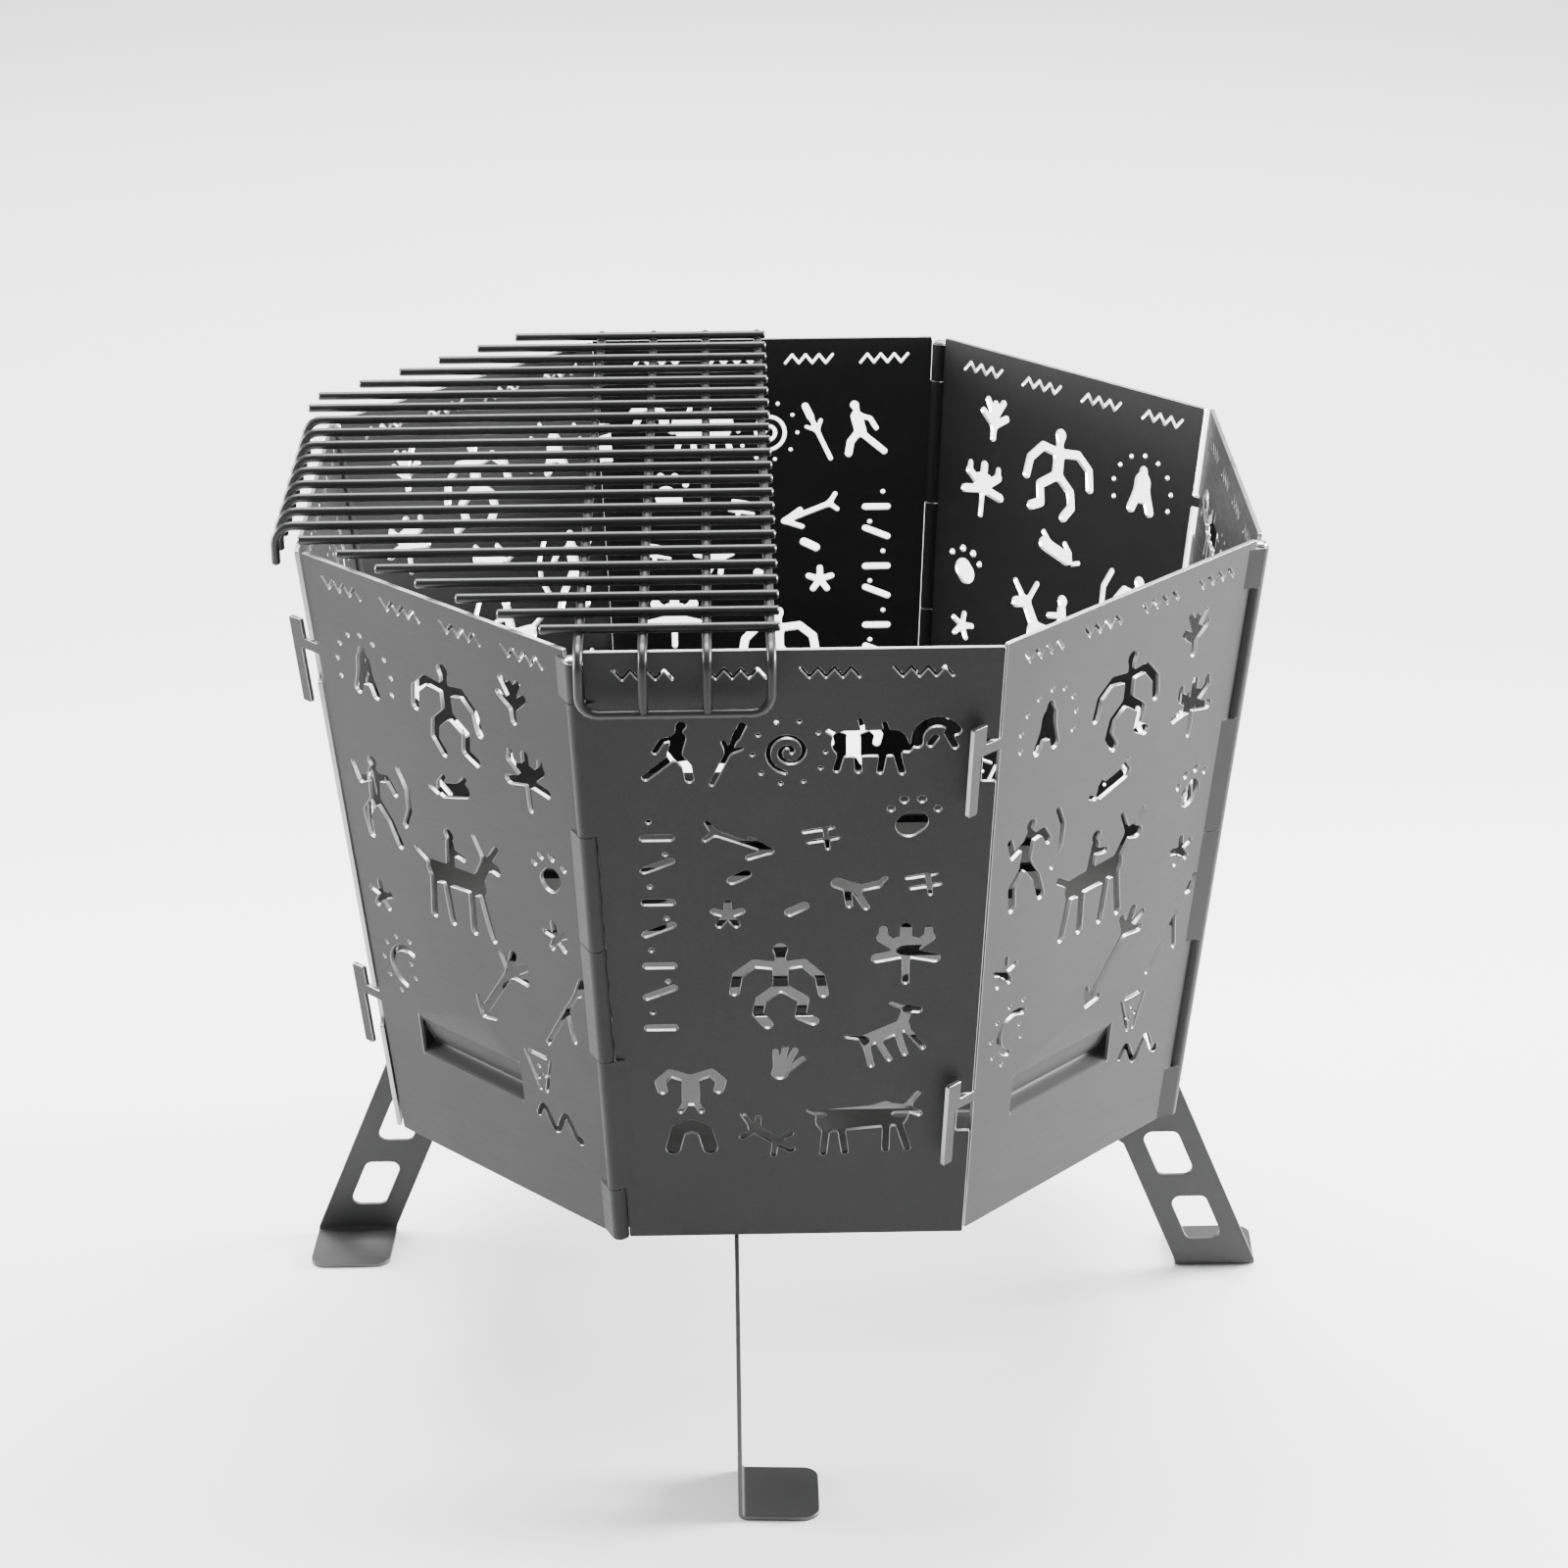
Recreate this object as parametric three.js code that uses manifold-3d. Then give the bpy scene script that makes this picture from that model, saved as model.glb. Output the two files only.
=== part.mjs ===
// Folding octagonal fire pit with a half-width cooking grate.
//
// Eight leaning steel panels stand on four leg blades. Panels come in hinged pairs: the
// straight panel (front, right, back, left) has a notched edge, and the corner panel next
// to it has hooks that drop into the notches of the pair before it. Inside lie an ash plate
// and a fuel grate; the cooking grate hangs over the front, left and back panels.
//
// Units are millimetres, +Z is up, the ground is z = 0 and the front panel faces -Y.

import * as THREE from 'three';
import { mergeVertices } from 'three/addons/utils/BufferGeometryUtils.js';
import Module from 'manifold-3d';

const wasm = await Module();
wasm.setup();

// ---------------------------------------------------------------- driving dimensions
const SIDES = 8;
const TOP_APOTHEM = 210;        // centre to the outside of a panel, at the rim
const BOTTOM_APOTHEM = 180;     // the same at the panels' lower edge
const BODY_HEIGHT = 290;        // lower edge to rim
const STAND_HEIGHT = 115;       // ground to the panels' lower edge
const SHEET = 2;                // steel sheet of the panels and legs
const THIN_SHEET = 1.5;         // steel sheet of the two inside plates
const GAP = 0.3;                // between faces that rest on each other
const WIRE_RADIUS = 2;          // cooking grate wire
const WIRE_SIDES = 6;
const ROD_PITCH = 18;
const ROD_COUNT = 23;

// ---------------------------------------------------------------- derived dimensions
const STEP_ANGLE = (2 * Math.PI) / SIDES;
const HALF_TAN = Math.tan(STEP_ANGLE / 2);
const FLARE = TOP_APOTHEM - BOTTOM_APOTHEM;
const LEAN = Math.atan2(FLARE, BODY_HEIGHT);
const SLANT = Math.hypot(FLARE, BODY_HEIGHT);
const HALF_BOTTOM = BOTTOM_APOTHEM * HALF_TAN;
const HALF_TOP = TOP_APOTHEM * HALF_TAN;
const RIM_Z = STAND_HEIGHT + BODY_HEIGHT;

// Half the width of a panel's outer face at height v along the slant.
const halfWidth = (v) => HALF_BOTTOM + ((HALF_TOP - HALF_BOTTOM) * v) / SLANT;

// ---------------------------------------------------------------- hinges and hooks
const KNUCKLE_RADIUS = 4;
const BORE_RADIUS = 1.8;
const PIN_RADIUS = 1.5;
const PIN_HEAD_RADIUS = 3;
const ROUND_SIDES = 10;
const KNUCKLE_CLEARANCE = 0.5;
const AXIS_INSET = (SHEET / 2) * HALF_TAN;
const EDGE_INSET = KNUCKLE_RADIUS + KNUCKLE_CLEARANCE;
// Heights along the slant where one knuckle ends and the next begins. The door panel's
// knuckles are the 1st, 3rd, 4th and 6th, the wall panel's the 2nd and 5th.
const KNUCKLE_ENDS = [0, 27, 94, 150, 206, 269, 288];
const DOOR_KNUCKLES = [0, 2, 3, 5];
const WALL_KNUCKLES = [1, 4];

const HOOK_FEET = [41, 216];    // lower end of each hook, along the slant
const HOOK_PRONG = 27;          // length of the part that hangs down
const HOOK_NECK = 5;            // height of the part that passes through the notch
const HOOK_HEAD = 14;           // height of the hook above its prong
const HOOK_REACH = 13;          // how far a hook stands past the corner
const HOOK_SLOT = 7.5;          // gap behind the prong
const HEAD_SLOT = 5;            // gap behind the head
const RIM_OVERLAP = 2;          // how far a wall panel runs past the corner
const DOOR_SETBACK = 4.5;       // how far a door panel stays short of the corner
const NOTCH_DEPTH = 4.2;        // from the corner into the wall panel
const NOTCH_DROP = 14;          // how far a notch runs down below the neck

// ---------------------------------------------------------------- materials
const steel = (color, roughness) =>
  new THREE.MeshStandardMaterial({ color, roughness, metalness: 0.85 });
const PANEL_STEEL = steel(0x54565a, 0.45);
const LEG_STEEL = steel(0x45474a, 0.5);
const PLATE_STEEL = steel(0x6a6c70, 0.5);
const WIRE_STEEL = steel(0x2c2d30, 0.4);
const PIN_STEEL = steel(0x8a8c90, 0.35);

// ---------------------------------------------------------------- solids
function toSolid(geometry) {
  const bare = geometry.clone();
  bare.deleteAttribute('normal');
  bare.deleteAttribute('uv');
  const merged = mergeVertices(bare, 1e-4);
  const vertProperties = new Float32Array(merged.attributes.position.array);
  const triVerts = new Uint32Array(merged.index.array);
  return new wasm.Manifold(new wasm.Mesh({ numProp: 3, vertProperties, triVerts }));
}

function toMesh(name, solid, material) {
  const { numProp, vertProperties, triVerts } = solid.getMesh();
  const geometry = new THREE.BufferGeometry();
  geometry.setAttribute('position', new THREE.BufferAttribute(vertProperties, numProp));
  geometry.setIndex(new THREE.BufferAttribute(triVerts, 1));
  geometry.computeVertexNormals();
  const mesh = new THREE.Mesh(geometry, material);
  mesh.name = name;
  return mesh;
}

// A flat sheet drawn in x and y from lists of [x, y] corners, with each hole cut through it.
// The sheet runs from z = 0 up to its thickness, and place() then moves the geometry.
function cutSheet(outline, holes, thickness, place) {
  const extrude = (corners, depth, start) => {
    const shape = new THREE.Shape(corners.map(([x, y]) => new THREE.Vector2(x, y)));
    const geometry = new THREE.ExtrudeGeometry(shape, { depth, bevelEnabled: false });
    geometry.translate(0, 0, start);
    place(geometry);
    return toSolid(geometry);
  };
  const plate = extrude(outline, thickness, 0);
  return holes.reduce((rest, hole) => rest.subtract(extrude(hole, thickness + 2, -1)), plate);
}

// Stands a sheet upright: its outline in x and z, its thickness from y = 0 backwards.
function standUp(geometry, thickness) {
  geometry.rotateX(Math.PI / 2);
  geometry.translate(0, thickness, 0);
}

function cylinderBetween(start, end, radius, sides) {
  const axis = new THREE.Vector3().subVectors(end, start);
  const geometry = new THREE.CylinderGeometry(radius, radius, axis.length(), sides);
  const turn = new THREE.Quaternion();
  turn.setFromUnitVectors(new THREE.Vector3(0, 1, 0), axis.clone().normalize());
  geometry.applyQuaternion(turn);
  const middle = new THREE.Vector3().addVectors(start, end).multiplyScalar(0.5);
  geometry.translate(middle.x, middle.y, middle.z);
  return geometry;
}

// A path through listed points that is sampled exactly at those points.
class WirePath extends THREE.Curve {
  constructor(points) {
    super();
    this.points = points;
  }

  getPoint(t, target = new THREE.Vector3()) {
    const place = t * (this.points.length - 1);
    const index = Math.min(Math.floor(place), this.points.length - 2);
    return target.lerpVectors(this.points[index], this.points[index + 1], place - index);
  }

  getUtoTmapping(u) {
    return u;
  }
}

// The corners of a bent wire, each inner one rounded with a bend of the given size.
function bendWire(corners, bend, steps = 3) {
  const points = [corners[0].clone()];
  for (let i = 1; i < corners.length - 1; i += 1) {
    const corner = corners[i];
    const before = corners[i - 1].clone().sub(corner).setLength(bend).add(corner);
    const after = corners[i + 1].clone().sub(corner).setLength(bend).add(corner);
    const curve = new THREE.QuadraticBezierCurve3(before, corner, after);
    points.push(...curve.getPoints(steps));
  }
  points.push(corners[corners.length - 1].clone());
  return points;
}

function polygon(count, radius) {
  const points = [];
  for (let i = 0; i < count; i += 1) {
    const angle = (2 * Math.PI * (i + 0.5)) / count;
    points.push(new THREE.Vector2(radius * Math.cos(angle), radius * Math.sin(angle)));
  }
  return points;
}

function wire(points, radius) {
  const section = new THREE.Shape(polygon(WIRE_SIDES, radius));
  return new THREE.ExtrudeGeometry(section, {
    steps: points.length - 1,
    extrudePath: new WirePath(points),
    bevelEnabled: false,
  });
}

// ---------------------------------------------------------------- cut-outs
// Each motif is a list of [x, y] corners about its own middle.
const ring = (count, radiusAt) => {
  const points = [];
  for (let i = 0; i < count; i += 1) {
    const angle = (2 * Math.PI * i) / count;
    points.push([radiusAt(i) * Math.cos(angle), radiusAt(i) * Math.sin(angle)]);
  }
  return points;
};
const star = (tips, outer, inner) => ring(2 * tips, (i) => (i % 2 ? inner : outer));
const bar = (length, width) => {
  const x = length / 2;
  const y = width / 2;
  return [[-x, -y], [x, -y], [x, y], [-x, y]];
};
const tilt = (points, degrees) => {
  const c = Math.cos((degrees * Math.PI) / 180);
  const s = Math.sin((degrees * Math.PI) / 180);
  return points.map(([x, y]) => [c * x - s * y, s * x + c * y]);
};
const enlarge = (points, factor) => points.map(([x, y]) => [factor * x, factor * y]);
const DROP = [[0, 11], [6, 0], [3, -6], [-3, -6], [-6, 0]];
const BELL = [[-9, -10], [0, -8], [9, -9], [6, 3], [0, 12], [-6, 3]];
const MOON = [[5, 9], [-5, 7], [-8, 0], [-5, -7], [5, -9], [-2, 0]];
const STAG = [[-20, -12], [-15, -12], [-13, 1], [5, 0], [6, -12], [10, -12], [12, 4], [22, 14],
  [17, 18], [6, 7], [-14, 8], [-20, 12]];
const DANCER = [[-9, -14], [-4, -14], [0, -4], [5, -14], [10, -14], [5, 4], [14, 8], [12, 12],
  [3, 10], [0, 19], [-3, 10], [-13, 4], [-11, 0], [-5, 3]];
const ARROW = [[-17, -1.5], [8, -1.5], [8, -6], [18, 0], [8, 6], [8, 1.5], [-17, 1.5]];

// The motifs on the corner panels and on the straight panels: corners, then the middle's
// place from the panel's centre line and along its slant.
const CORNER_MOTIFS = [
  [BELL, -52, 243], [enlarge(DANCER, 1.3), 2, 234], [star(6, 13, 6), 51, 217],
  [bar(18, 5), -2, 198], [enlarge(DANCER, 1.1), -53, 178], [DROP, 55, 176],
  [enlarge(STAG, 1.35), -8, 151], [star(4, 8, 3), 58, 143],
  [MOON, -52, 93], [tilt(ARROW, 55), 27, 107],
];
const WALL_MOTIFS = [
  [DANCER, -44, 243], [star(6, 12, 6), -3, 243], [STAG, 38, 243], [tilt(DROP, 30), 56, 208],
  [tilt(ARROW, -25), -12, 200], [tilt(ARROW, -30), 26, 176], [enlarge(DANCER, 1.3), -2, 128],
  [star(6, 14, 6), 52, 144], [STAG, 44, 101], [BELL, -44, 70], [bar(34, 9), 38, 58],
  ...[112, 132, 152, 172, 192].map((v) => [bar(13, 8), -53, v]),
];

function motifHoles(motifs) {
  return motifs.map(([corners, u, v]) => corners.map(([x, y]) => [u + x, v + y]));
}

// ---------------------------------------------------------------- panels
// A hinged edge, going up, as [u, v] corners for the right-hand side of a panel. The sheet
// reaches the hinge axis at its own knuckles and stays clear of the neighbour's.
function hingedEdge(own) {
  const corners = [[halfWidth(0) - EDGE_INSET, 0]];
  for (const index of own) {
    const low = KNUCKLE_ENDS[index] + GAP;
    const high = KNUCKLE_ENDS[index + 1] - GAP;
    corners.push([halfWidth(low) - EDGE_INSET, low]);
    corners.push([halfWidth(low) - AXIS_INSET, low]);
    corners.push([halfWidth(high) - AXIS_INSET, high]);
    corners.push([halfWidth(high) - EDGE_INSET, high]);
  }
  corners.push([halfWidth(SLANT) - EDGE_INSET, SLANT]);
  return corners;
}

// A wall panel's free edge, with an open notch for each hook of the door beside it.
function notchedEdge() {
  const corners = [[halfWidth(0) + RIM_OVERLAP, 0]];
  for (const foot of HOOK_FEET) {
    const low = foot + HOOK_PRONG - NOTCH_DROP;
    const high = foot + HOOK_PRONG + HOOK_NECK + 1;
    corners.push([halfWidth(low) + RIM_OVERLAP, low]);
    corners.push([halfWidth(low) - NOTCH_DEPTH, low]);
    corners.push([halfWidth(high) - NOTCH_DEPTH, high]);
    corners.push([halfWidth(high) + RIM_OVERLAP, high]);
  }
  corners.push([halfWidth(SLANT) + RIM_OVERLAP, SLANT]);
  return corners;
}

// A door panel's free edge, with its hooks.
function hookedEdge() {
  const corners = [[halfWidth(0) - DOOR_SETBACK, 0]];
  for (const foot of HOOK_FEET) {
    const neck = foot + HOOK_PRONG;
    const shoulder = neck + HOOK_NECK;
    const top = neck + HOOK_HEAD;
    corners.push([halfWidth(neck) - DOOR_SETBACK, neck]);
    corners.push([halfWidth(neck) + HOOK_SLOT, neck]);
    corners.push([halfWidth(foot) + HOOK_SLOT, foot]);
    corners.push([halfWidth(foot) + HOOK_REACH, foot]);
    corners.push([halfWidth(top) + HOOK_REACH, top]);
    corners.push([halfWidth(top) + HEAD_SLOT, top]);
    corners.push([halfWidth(shoulder) + HEAD_SLOT, shoulder]);
    corners.push([halfWidth(shoulder) - DOOR_SETBACK, shoulder]);
  }
  corners.push([halfWidth(SLANT) - DOOR_SETBACK, SLANT]);
  return corners;
}

const AXIS_Y = SHEET / 2;
const axisPoint = (side, v) => new THREE.Vector3(side * (halfWidth(v) - AXIS_INSET), AXIS_Y, v);

function panelSolid(leftEdge, rightEdge, side, own, motifs) {
  const left = leftEdge.map(([u, v]) => [-u, v]).reverse();
  let solid = cutSheet([...rightEdge, ...left], motifHoles(motifs), SHEET,
    (geometry) => standUp(geometry, SHEET));
  for (const index of own) {
    const low = KNUCKLE_ENDS[index] + GAP;
    const high = KNUCKLE_ENDS[index + 1] - GAP;
    const start = axisPoint(side, low);
    const end = axisPoint(side, high);
    solid = solid.add(toSolid(cylinderBetween(start, end, KNUCKLE_RADIUS, ROUND_SIDES)));
  }
  const bore = cylinderBetween(axisPoint(side, -20), axisPoint(side, SLANT), BORE_RADIUS, ROUND_SIDES);
  return solid.subtract(toSolid(bore));
}

// A ledge pressed into a door panel from outside: a wedge of sheet that stands inwards.
const LEDGE = { from: -46, to: 20, low: 51, apex: 54, high: 70, depth: 7 };

function ledgeWedge(shift) {
  const shape = new THREE.Shape([
    new THREE.Vector2(shift - SHEET, LEDGE.low),
    new THREE.Vector2(shift, LEDGE.low),
    new THREE.Vector2(shift + LEDGE.depth, LEDGE.apex),
    new THREE.Vector2(shift, LEDGE.high),
    new THREE.Vector2(shift - SHEET, LEDGE.high),
  ]);
  const depth = LEDGE.to - LEDGE.from;
  const geometry = new THREE.ExtrudeGeometry(shape, { depth, bevelEnabled: false });
  const axes = new THREE.Matrix4().makeBasis(
    new THREE.Vector3(0, 1, 0),
    new THREE.Vector3(0, 0, 1),
    new THREE.Vector3(1, 0, 0),
  );
  geometry.applyMatrix4(axes);
  geometry.translate(LEDGE.from, 0, 0);
  return toSolid(geometry);
}

function doorPanelSolid() {
  const plate = panelSolid(hookedEdge(), hingedEdge(DOOR_KNUCKLES), 1, DOOR_KNUCKLES,
    CORNER_MOTIFS);
  return plate.add(ledgeWedge(SHEET)).subtract(ledgeWedge(0));
}

function wallPanelSolid() {
  return panelSolid(hingedEdge(WALL_KNUCKLES), notchedEdge(), -1, WALL_KNUCKLES, WALL_MOTIFS);
}

// Two pins to each hinge, held by their heads. They are drawn in the door panel's frame.
const PINS = [
  { name: 'lower', from: 1, to: 149.2 },
  { name: 'upper', from: 151, to: 288 },
];
const PIN_HEAD_HEIGHT = 0.8;

function pinSolid({ name, from, to }) {
  const shaft = toSolid(cylinderBetween(axisPoint(1, from), axisPoint(1, to), PIN_RADIUS, ROUND_SIDES));
  if (name === 'lower') return shaft;
  const start = axisPoint(1, to);
  const end = axisPoint(1, to + 2 * PIN_HEAD_HEIGHT);
  return shaft.add(toSolid(cylinderBetween(start, end, PIN_HEAD_RADIUS, ROUND_SIDES)));
}

// ---------------------------------------------------------------- legs
const LEG_OFFSET = 23;          // blade to the centre line, which makes the pinwheel
const LEG_RAKE = 0.413;         // how far a leg leans out for each unit of drop
const FOOT_OUTER = 233;
const FOOT_WIDTH = 39;
const FOOT_TAB = 35;            // how far the foot is turned out to the side
const ARM_DEPTH = 29;
const ARM_TOP = STAND_HEIGHT - GAP;
const TENON = { low: 94, high: 106, reach: 7 };
const SLOT_CLEARANCE = 0.4;
const WINDOWS = [[16, 40], [52, 76]];
const WINDOW_MARGIN = 10.5;
const WINDOW_CORNER = 2.5;
const KNEE_Z = 101;             // where the outer edge turns upright
const CROOK = 16;               // corner cut between the arm and the leg
const TAB_CORNER = 7;           // rounding of the foot

function legWindow([low, high]) {
  const left = (z) => FOOT_OUTER - FOOT_WIDTH - LEG_RAKE * z + WINDOW_MARGIN;
  const width = FOOT_WIDTH - 2 * WINDOW_MARGIN;
  const c = WINDOW_CORNER;
  const corners = [
    [left(low) + c, low], [left(low) + width - c, low],
    [left(low + c) + width, low + c], [left(high - c) + width, high - c],
    [left(high) + width - c, high], [left(high) + c, high],
    [left(high - c), high - c], [left(low + c), low + c],
  ];
  return corners;
}

function legSolid() {
  const outer = (z) => FOOT_OUTER - LEG_RAKE * z;
  const inner = (z) => outer(z) - FOOT_WIDTH;
  const armEnd = -(LEG_OFFSET - SHEET / 2 - GAP);
  const armLow = ARM_TOP - ARM_DEPTH;
  const corners = [
    [inner(0), 0], [outer(0), 0], [outer(KNEE_Z), KNEE_Z], [BOTTOM_APOTHEM + 1, ARM_TOP],
    [armEnd, ARM_TOP], [armEnd, TENON.high], [armEnd - TENON.reach, TENON.high],
    [armEnd - TENON.reach, TENON.low], [armEnd, TENON.low], [armEnd, armLow],
    [inner(armLow) - CROOK, armLow], [inner(armLow - CROOK), armLow - CROOK],
  ];
  const slotHalf = SHEET / 2 + SLOT_CLEARANCE;
  const slot = [
    [LEG_OFFSET - slotHalf, TENON.low - SLOT_CLEARANCE],
    [LEG_OFFSET + slotHalf, TENON.low - SLOT_CLEARANCE],
    [LEG_OFFSET + slotHalf, TENON.high + SLOT_CLEARANCE],
    [LEG_OFFSET - slotHalf, TENON.high + SLOT_CLEARANCE],
  ];
  // The outline's first number is the distance from the middle. A quarter turn back points
  // that distance to -Y.
  const blade = cutSheet(corners, [...WINDOWS.map(legWindow), slot], SHEET, (geometry) => {
    standUp(geometry, SHEET);
    geometry.rotateZ(-Math.PI / 2);
    geometry.translate(-LEG_OFFSET - SHEET / 2, 0, 0);
  });
  return blade.add(toSolid(footTab()));
}

function footTab() {
  const start = -LEG_OFFSET - SHEET / 2;
  const end = -LEG_OFFSET + FOOT_TAB;
  const front = -FOOT_OUTER;
  const back = -FOOT_OUTER + FOOT_WIDTH;
  const shape = new THREE.Shape();
  const r = TAB_CORNER;
  shape.moveTo(start, front);
  shape.lineTo(end - r, front);
  shape.absarc(end - r, front + r, r, -Math.PI / 2, 0);
  shape.lineTo(end, back - r);
  shape.absarc(end - r, back - r, r, 0, Math.PI / 2);
  shape.lineTo(start, back);
  const options = { depth: SHEET, bevelEnabled: false, curveSegments: 4 };
  return new THREE.ExtrudeGeometry(shape, options);
}

// ---------------------------------------------------------------- inside plates
const ASH_APOTHEM = 174;
const ASH_RIM = 10;
const FUEL_APOTHEM = 181;
const FUEL_Z = 177.7;           // underside of the fuel grate, just above the ledges
const ASH_VENTS = { columns: 3, rows: 4, pitchX: 70, pitchY: 50, length: 40, width: 6 };
const FUEL_SLOTS = { columns: 3, rows: 9, pitchX: 92, pitchY: 30, length: 76, width: 11 };

function octagon(apothem) {
  const radius = apothem / Math.cos(STEP_ANGLE / 2);
  const corners = [];
  for (let i = 0; i < SIDES; i += 1) {
    const angle = (i + 0.5) * STEP_ANGLE;
    corners.push([radius * Math.cos(angle), radius * Math.sin(angle)]);
  }
  return corners;
}

function slotRows({ columns, rows, pitchX, pitchY, length, width }) {
  const slots = [];
  for (let i = 0; i < columns; i += 1) {
    for (let j = 0; j < rows; j += 1) {
      const x = (i - (columns - 1) / 2) * pitchX;
      const y = (j - (rows - 1) / 2) * pitchY;
      slots.push(bar(length, width).map(([dx, dy]) => [x + dx, y + dy]));
    }
  }
  return slots;
}

const lift = (z) => (geometry) => geometry.translate(0, 0, z);

function ashPlateSolid() {
  const vents = slotRows(ASH_VENTS);
  const inside = octagon(ASH_APOTHEM - THIN_SHEET);
  const floor = cutSheet(octagon(ASH_APOTHEM), vents, THIN_SHEET, lift(STAND_HEIGHT));
  return floor.add(cutSheet(octagon(ASH_APOTHEM), [inside], ASH_RIM, lift(STAND_HEIGHT)));
}

function fuelGrateSolid() {
  const slots = slotRows(FUEL_SLOTS);
  return cutSheet(octagon(FUEL_APOTHEM), slots, THIN_SHEET, lift(FUEL_Z));
}

// ---------------------------------------------------------------- cooking grate
const BAR_Z = RIM_Z + GAP + WIRE_RADIUS;
const WELD_SINK = 0.4;          // how far crossing wires are pressed into each other
const ROD_Z = BAR_Z + 2 * WIRE_RADIUS - WELD_SINK;
const BEND = 8;
const BAR_OUTER_X = [-6, -84];
const BAR_INNER_X = [-32, -58];
const HANG_Y = TOP_APOTHEM + 8;
const HANG_Z = RIM_Z - 24;      // lowest wire of the frames that hang outside
const ROD_END_X = -2;
const SIDE_HANG_X = -220;
const SIDE_HANG_Z = RIM_Z - 12;
const BENT_ROD_LIMIT = 80;      // rods nearer the middle than this hook over the left panel
const BACK_OVERHANG = 28;       // how far the rods run past the back left panel

const at = (x, y, z) => new THREE.Vector3(x, y, z);

function rodCorners(y) {
  const start = at(ROD_END_X, y, ROD_Z);
  if (Math.abs(y) < BENT_ROD_LIMIT) {
    return [start, at(SIDE_HANG_X, y, ROD_Z), at(SIDE_HANG_X, y, SIDE_HANG_Z)];
  }
  const rimX = -(TOP_APOTHEM * Math.SQRT2 - Math.abs(y));
  const end = y > 0 ? Math.max(rimX - BACK_OVERHANG, SIDE_HANG_X) : rimX - 1;
  return [start, at(end, y, ROD_Z)];
}

function cookingGrateSolid() {
  const joinX = (BAR_OUTER_X[0] + BAR_OUTER_X[1]) / 2;
  const pieces = [];
  for (const x of BAR_OUTER_X) {
    const past = joinX + (x > joinX ? -1 : 1);
    const corners = [at(past, -HANG_Y, HANG_Z), at(x, -HANG_Y, HANG_Z), at(x, -HANG_Y, BAR_Z),
      at(x, HANG_Y, BAR_Z), at(x, HANG_Y, HANG_Z), at(past, HANG_Y, HANG_Z)];
    pieces.push(wire(bendWire(corners, BEND), WIRE_RADIUS));
  }
  for (const x of BAR_INNER_X) {
    const corners = [at(x, -HANG_Y, HANG_Z), at(x, -HANG_Y, BAR_Z), at(x, HANG_Y, BAR_Z),
      at(x, HANG_Y, HANG_Z)];
    pieces.push(wire(bendWire(corners, BEND), WIRE_RADIUS));
  }
  for (let i = 0; i < ROD_COUNT; i += 1) {
    const y = (i - (ROD_COUNT - 1) / 2) * ROD_PITCH;
    pieces.push(wire(bendWire(rodCorners(y), BEND), WIRE_RADIUS));
  }
  return pieces.map(toSolid).reduce((whole, piece) => whole.add(piece));
}

// ---------------------------------------------------------------- assembly
const PLACES = ['front', 'front_right', 'right', 'back_right', 'back', 'back_left', 'left',
  'front_left'];
const pit = new THREE.Group();

PLACES.forEach((place, index) => {
  const isDoor = index % 2 === 1;
  const turned = new THREE.Group();
  turned.rotation.z = index * STEP_ANGLE;
  const pieces = [toMesh(`panel_${place}`, isDoor ? doorPanelSolid() : wallPanelSolid(),
    PANEL_STEEL)];
  if (isDoor) {
    for (const pin of PINS) {
      pieces.push(toMesh(`hinge_pin_${place}_${pin.name}`, pinSolid(pin), PIN_STEEL));
    }
  }
  for (const piece of pieces) {
    piece.position.set(0, -BOTTOM_APOTHEM, STAND_HEIGHT);
    piece.rotation.x = LEAN;
    turned.add(piece);
  }
  pit.add(turned);
});

['front', 'right', 'back', 'left'].forEach((place, index) => {
  const leg = toMesh(`leg_${place}`, legSolid(), LEG_STEEL);
  leg.rotation.z = (index * Math.PI) / 2;
  pit.add(leg);
});

pit.add(toMesh('ash_plate', ashPlateSolid(), PLATE_STEEL));
pit.add(toMesh('fuel_grate', fuelGrateSolid(), PLATE_STEEL));
pit.add(toMesh('cooking_grate', cookingGrateSolid(), WIRE_STEEL));

export default pit;
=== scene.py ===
"""Folding octagonal fire pit with a half-width cooking grate, finished for rendering.

Every sheet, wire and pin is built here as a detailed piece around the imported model. Lengths
are in millimetres, and each mesh is scaled to metres when it is placed.
"""
import math

import bmesh
import bpy
import numpy as np
from mathutils import Matrix, Vector


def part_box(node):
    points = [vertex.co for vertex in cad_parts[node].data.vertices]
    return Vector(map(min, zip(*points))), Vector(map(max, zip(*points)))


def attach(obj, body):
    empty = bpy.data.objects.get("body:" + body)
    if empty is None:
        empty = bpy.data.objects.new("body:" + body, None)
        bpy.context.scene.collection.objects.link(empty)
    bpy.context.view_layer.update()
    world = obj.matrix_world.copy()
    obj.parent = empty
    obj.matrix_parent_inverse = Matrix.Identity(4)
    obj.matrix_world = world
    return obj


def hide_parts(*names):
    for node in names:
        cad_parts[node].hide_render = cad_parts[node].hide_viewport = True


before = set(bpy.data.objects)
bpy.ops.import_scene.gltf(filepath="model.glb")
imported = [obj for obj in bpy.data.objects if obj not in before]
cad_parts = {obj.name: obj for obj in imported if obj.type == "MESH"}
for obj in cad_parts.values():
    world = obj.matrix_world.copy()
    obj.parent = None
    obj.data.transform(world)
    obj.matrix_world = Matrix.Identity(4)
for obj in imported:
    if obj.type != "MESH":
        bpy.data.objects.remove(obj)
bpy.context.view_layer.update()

MM = 0.001

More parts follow.
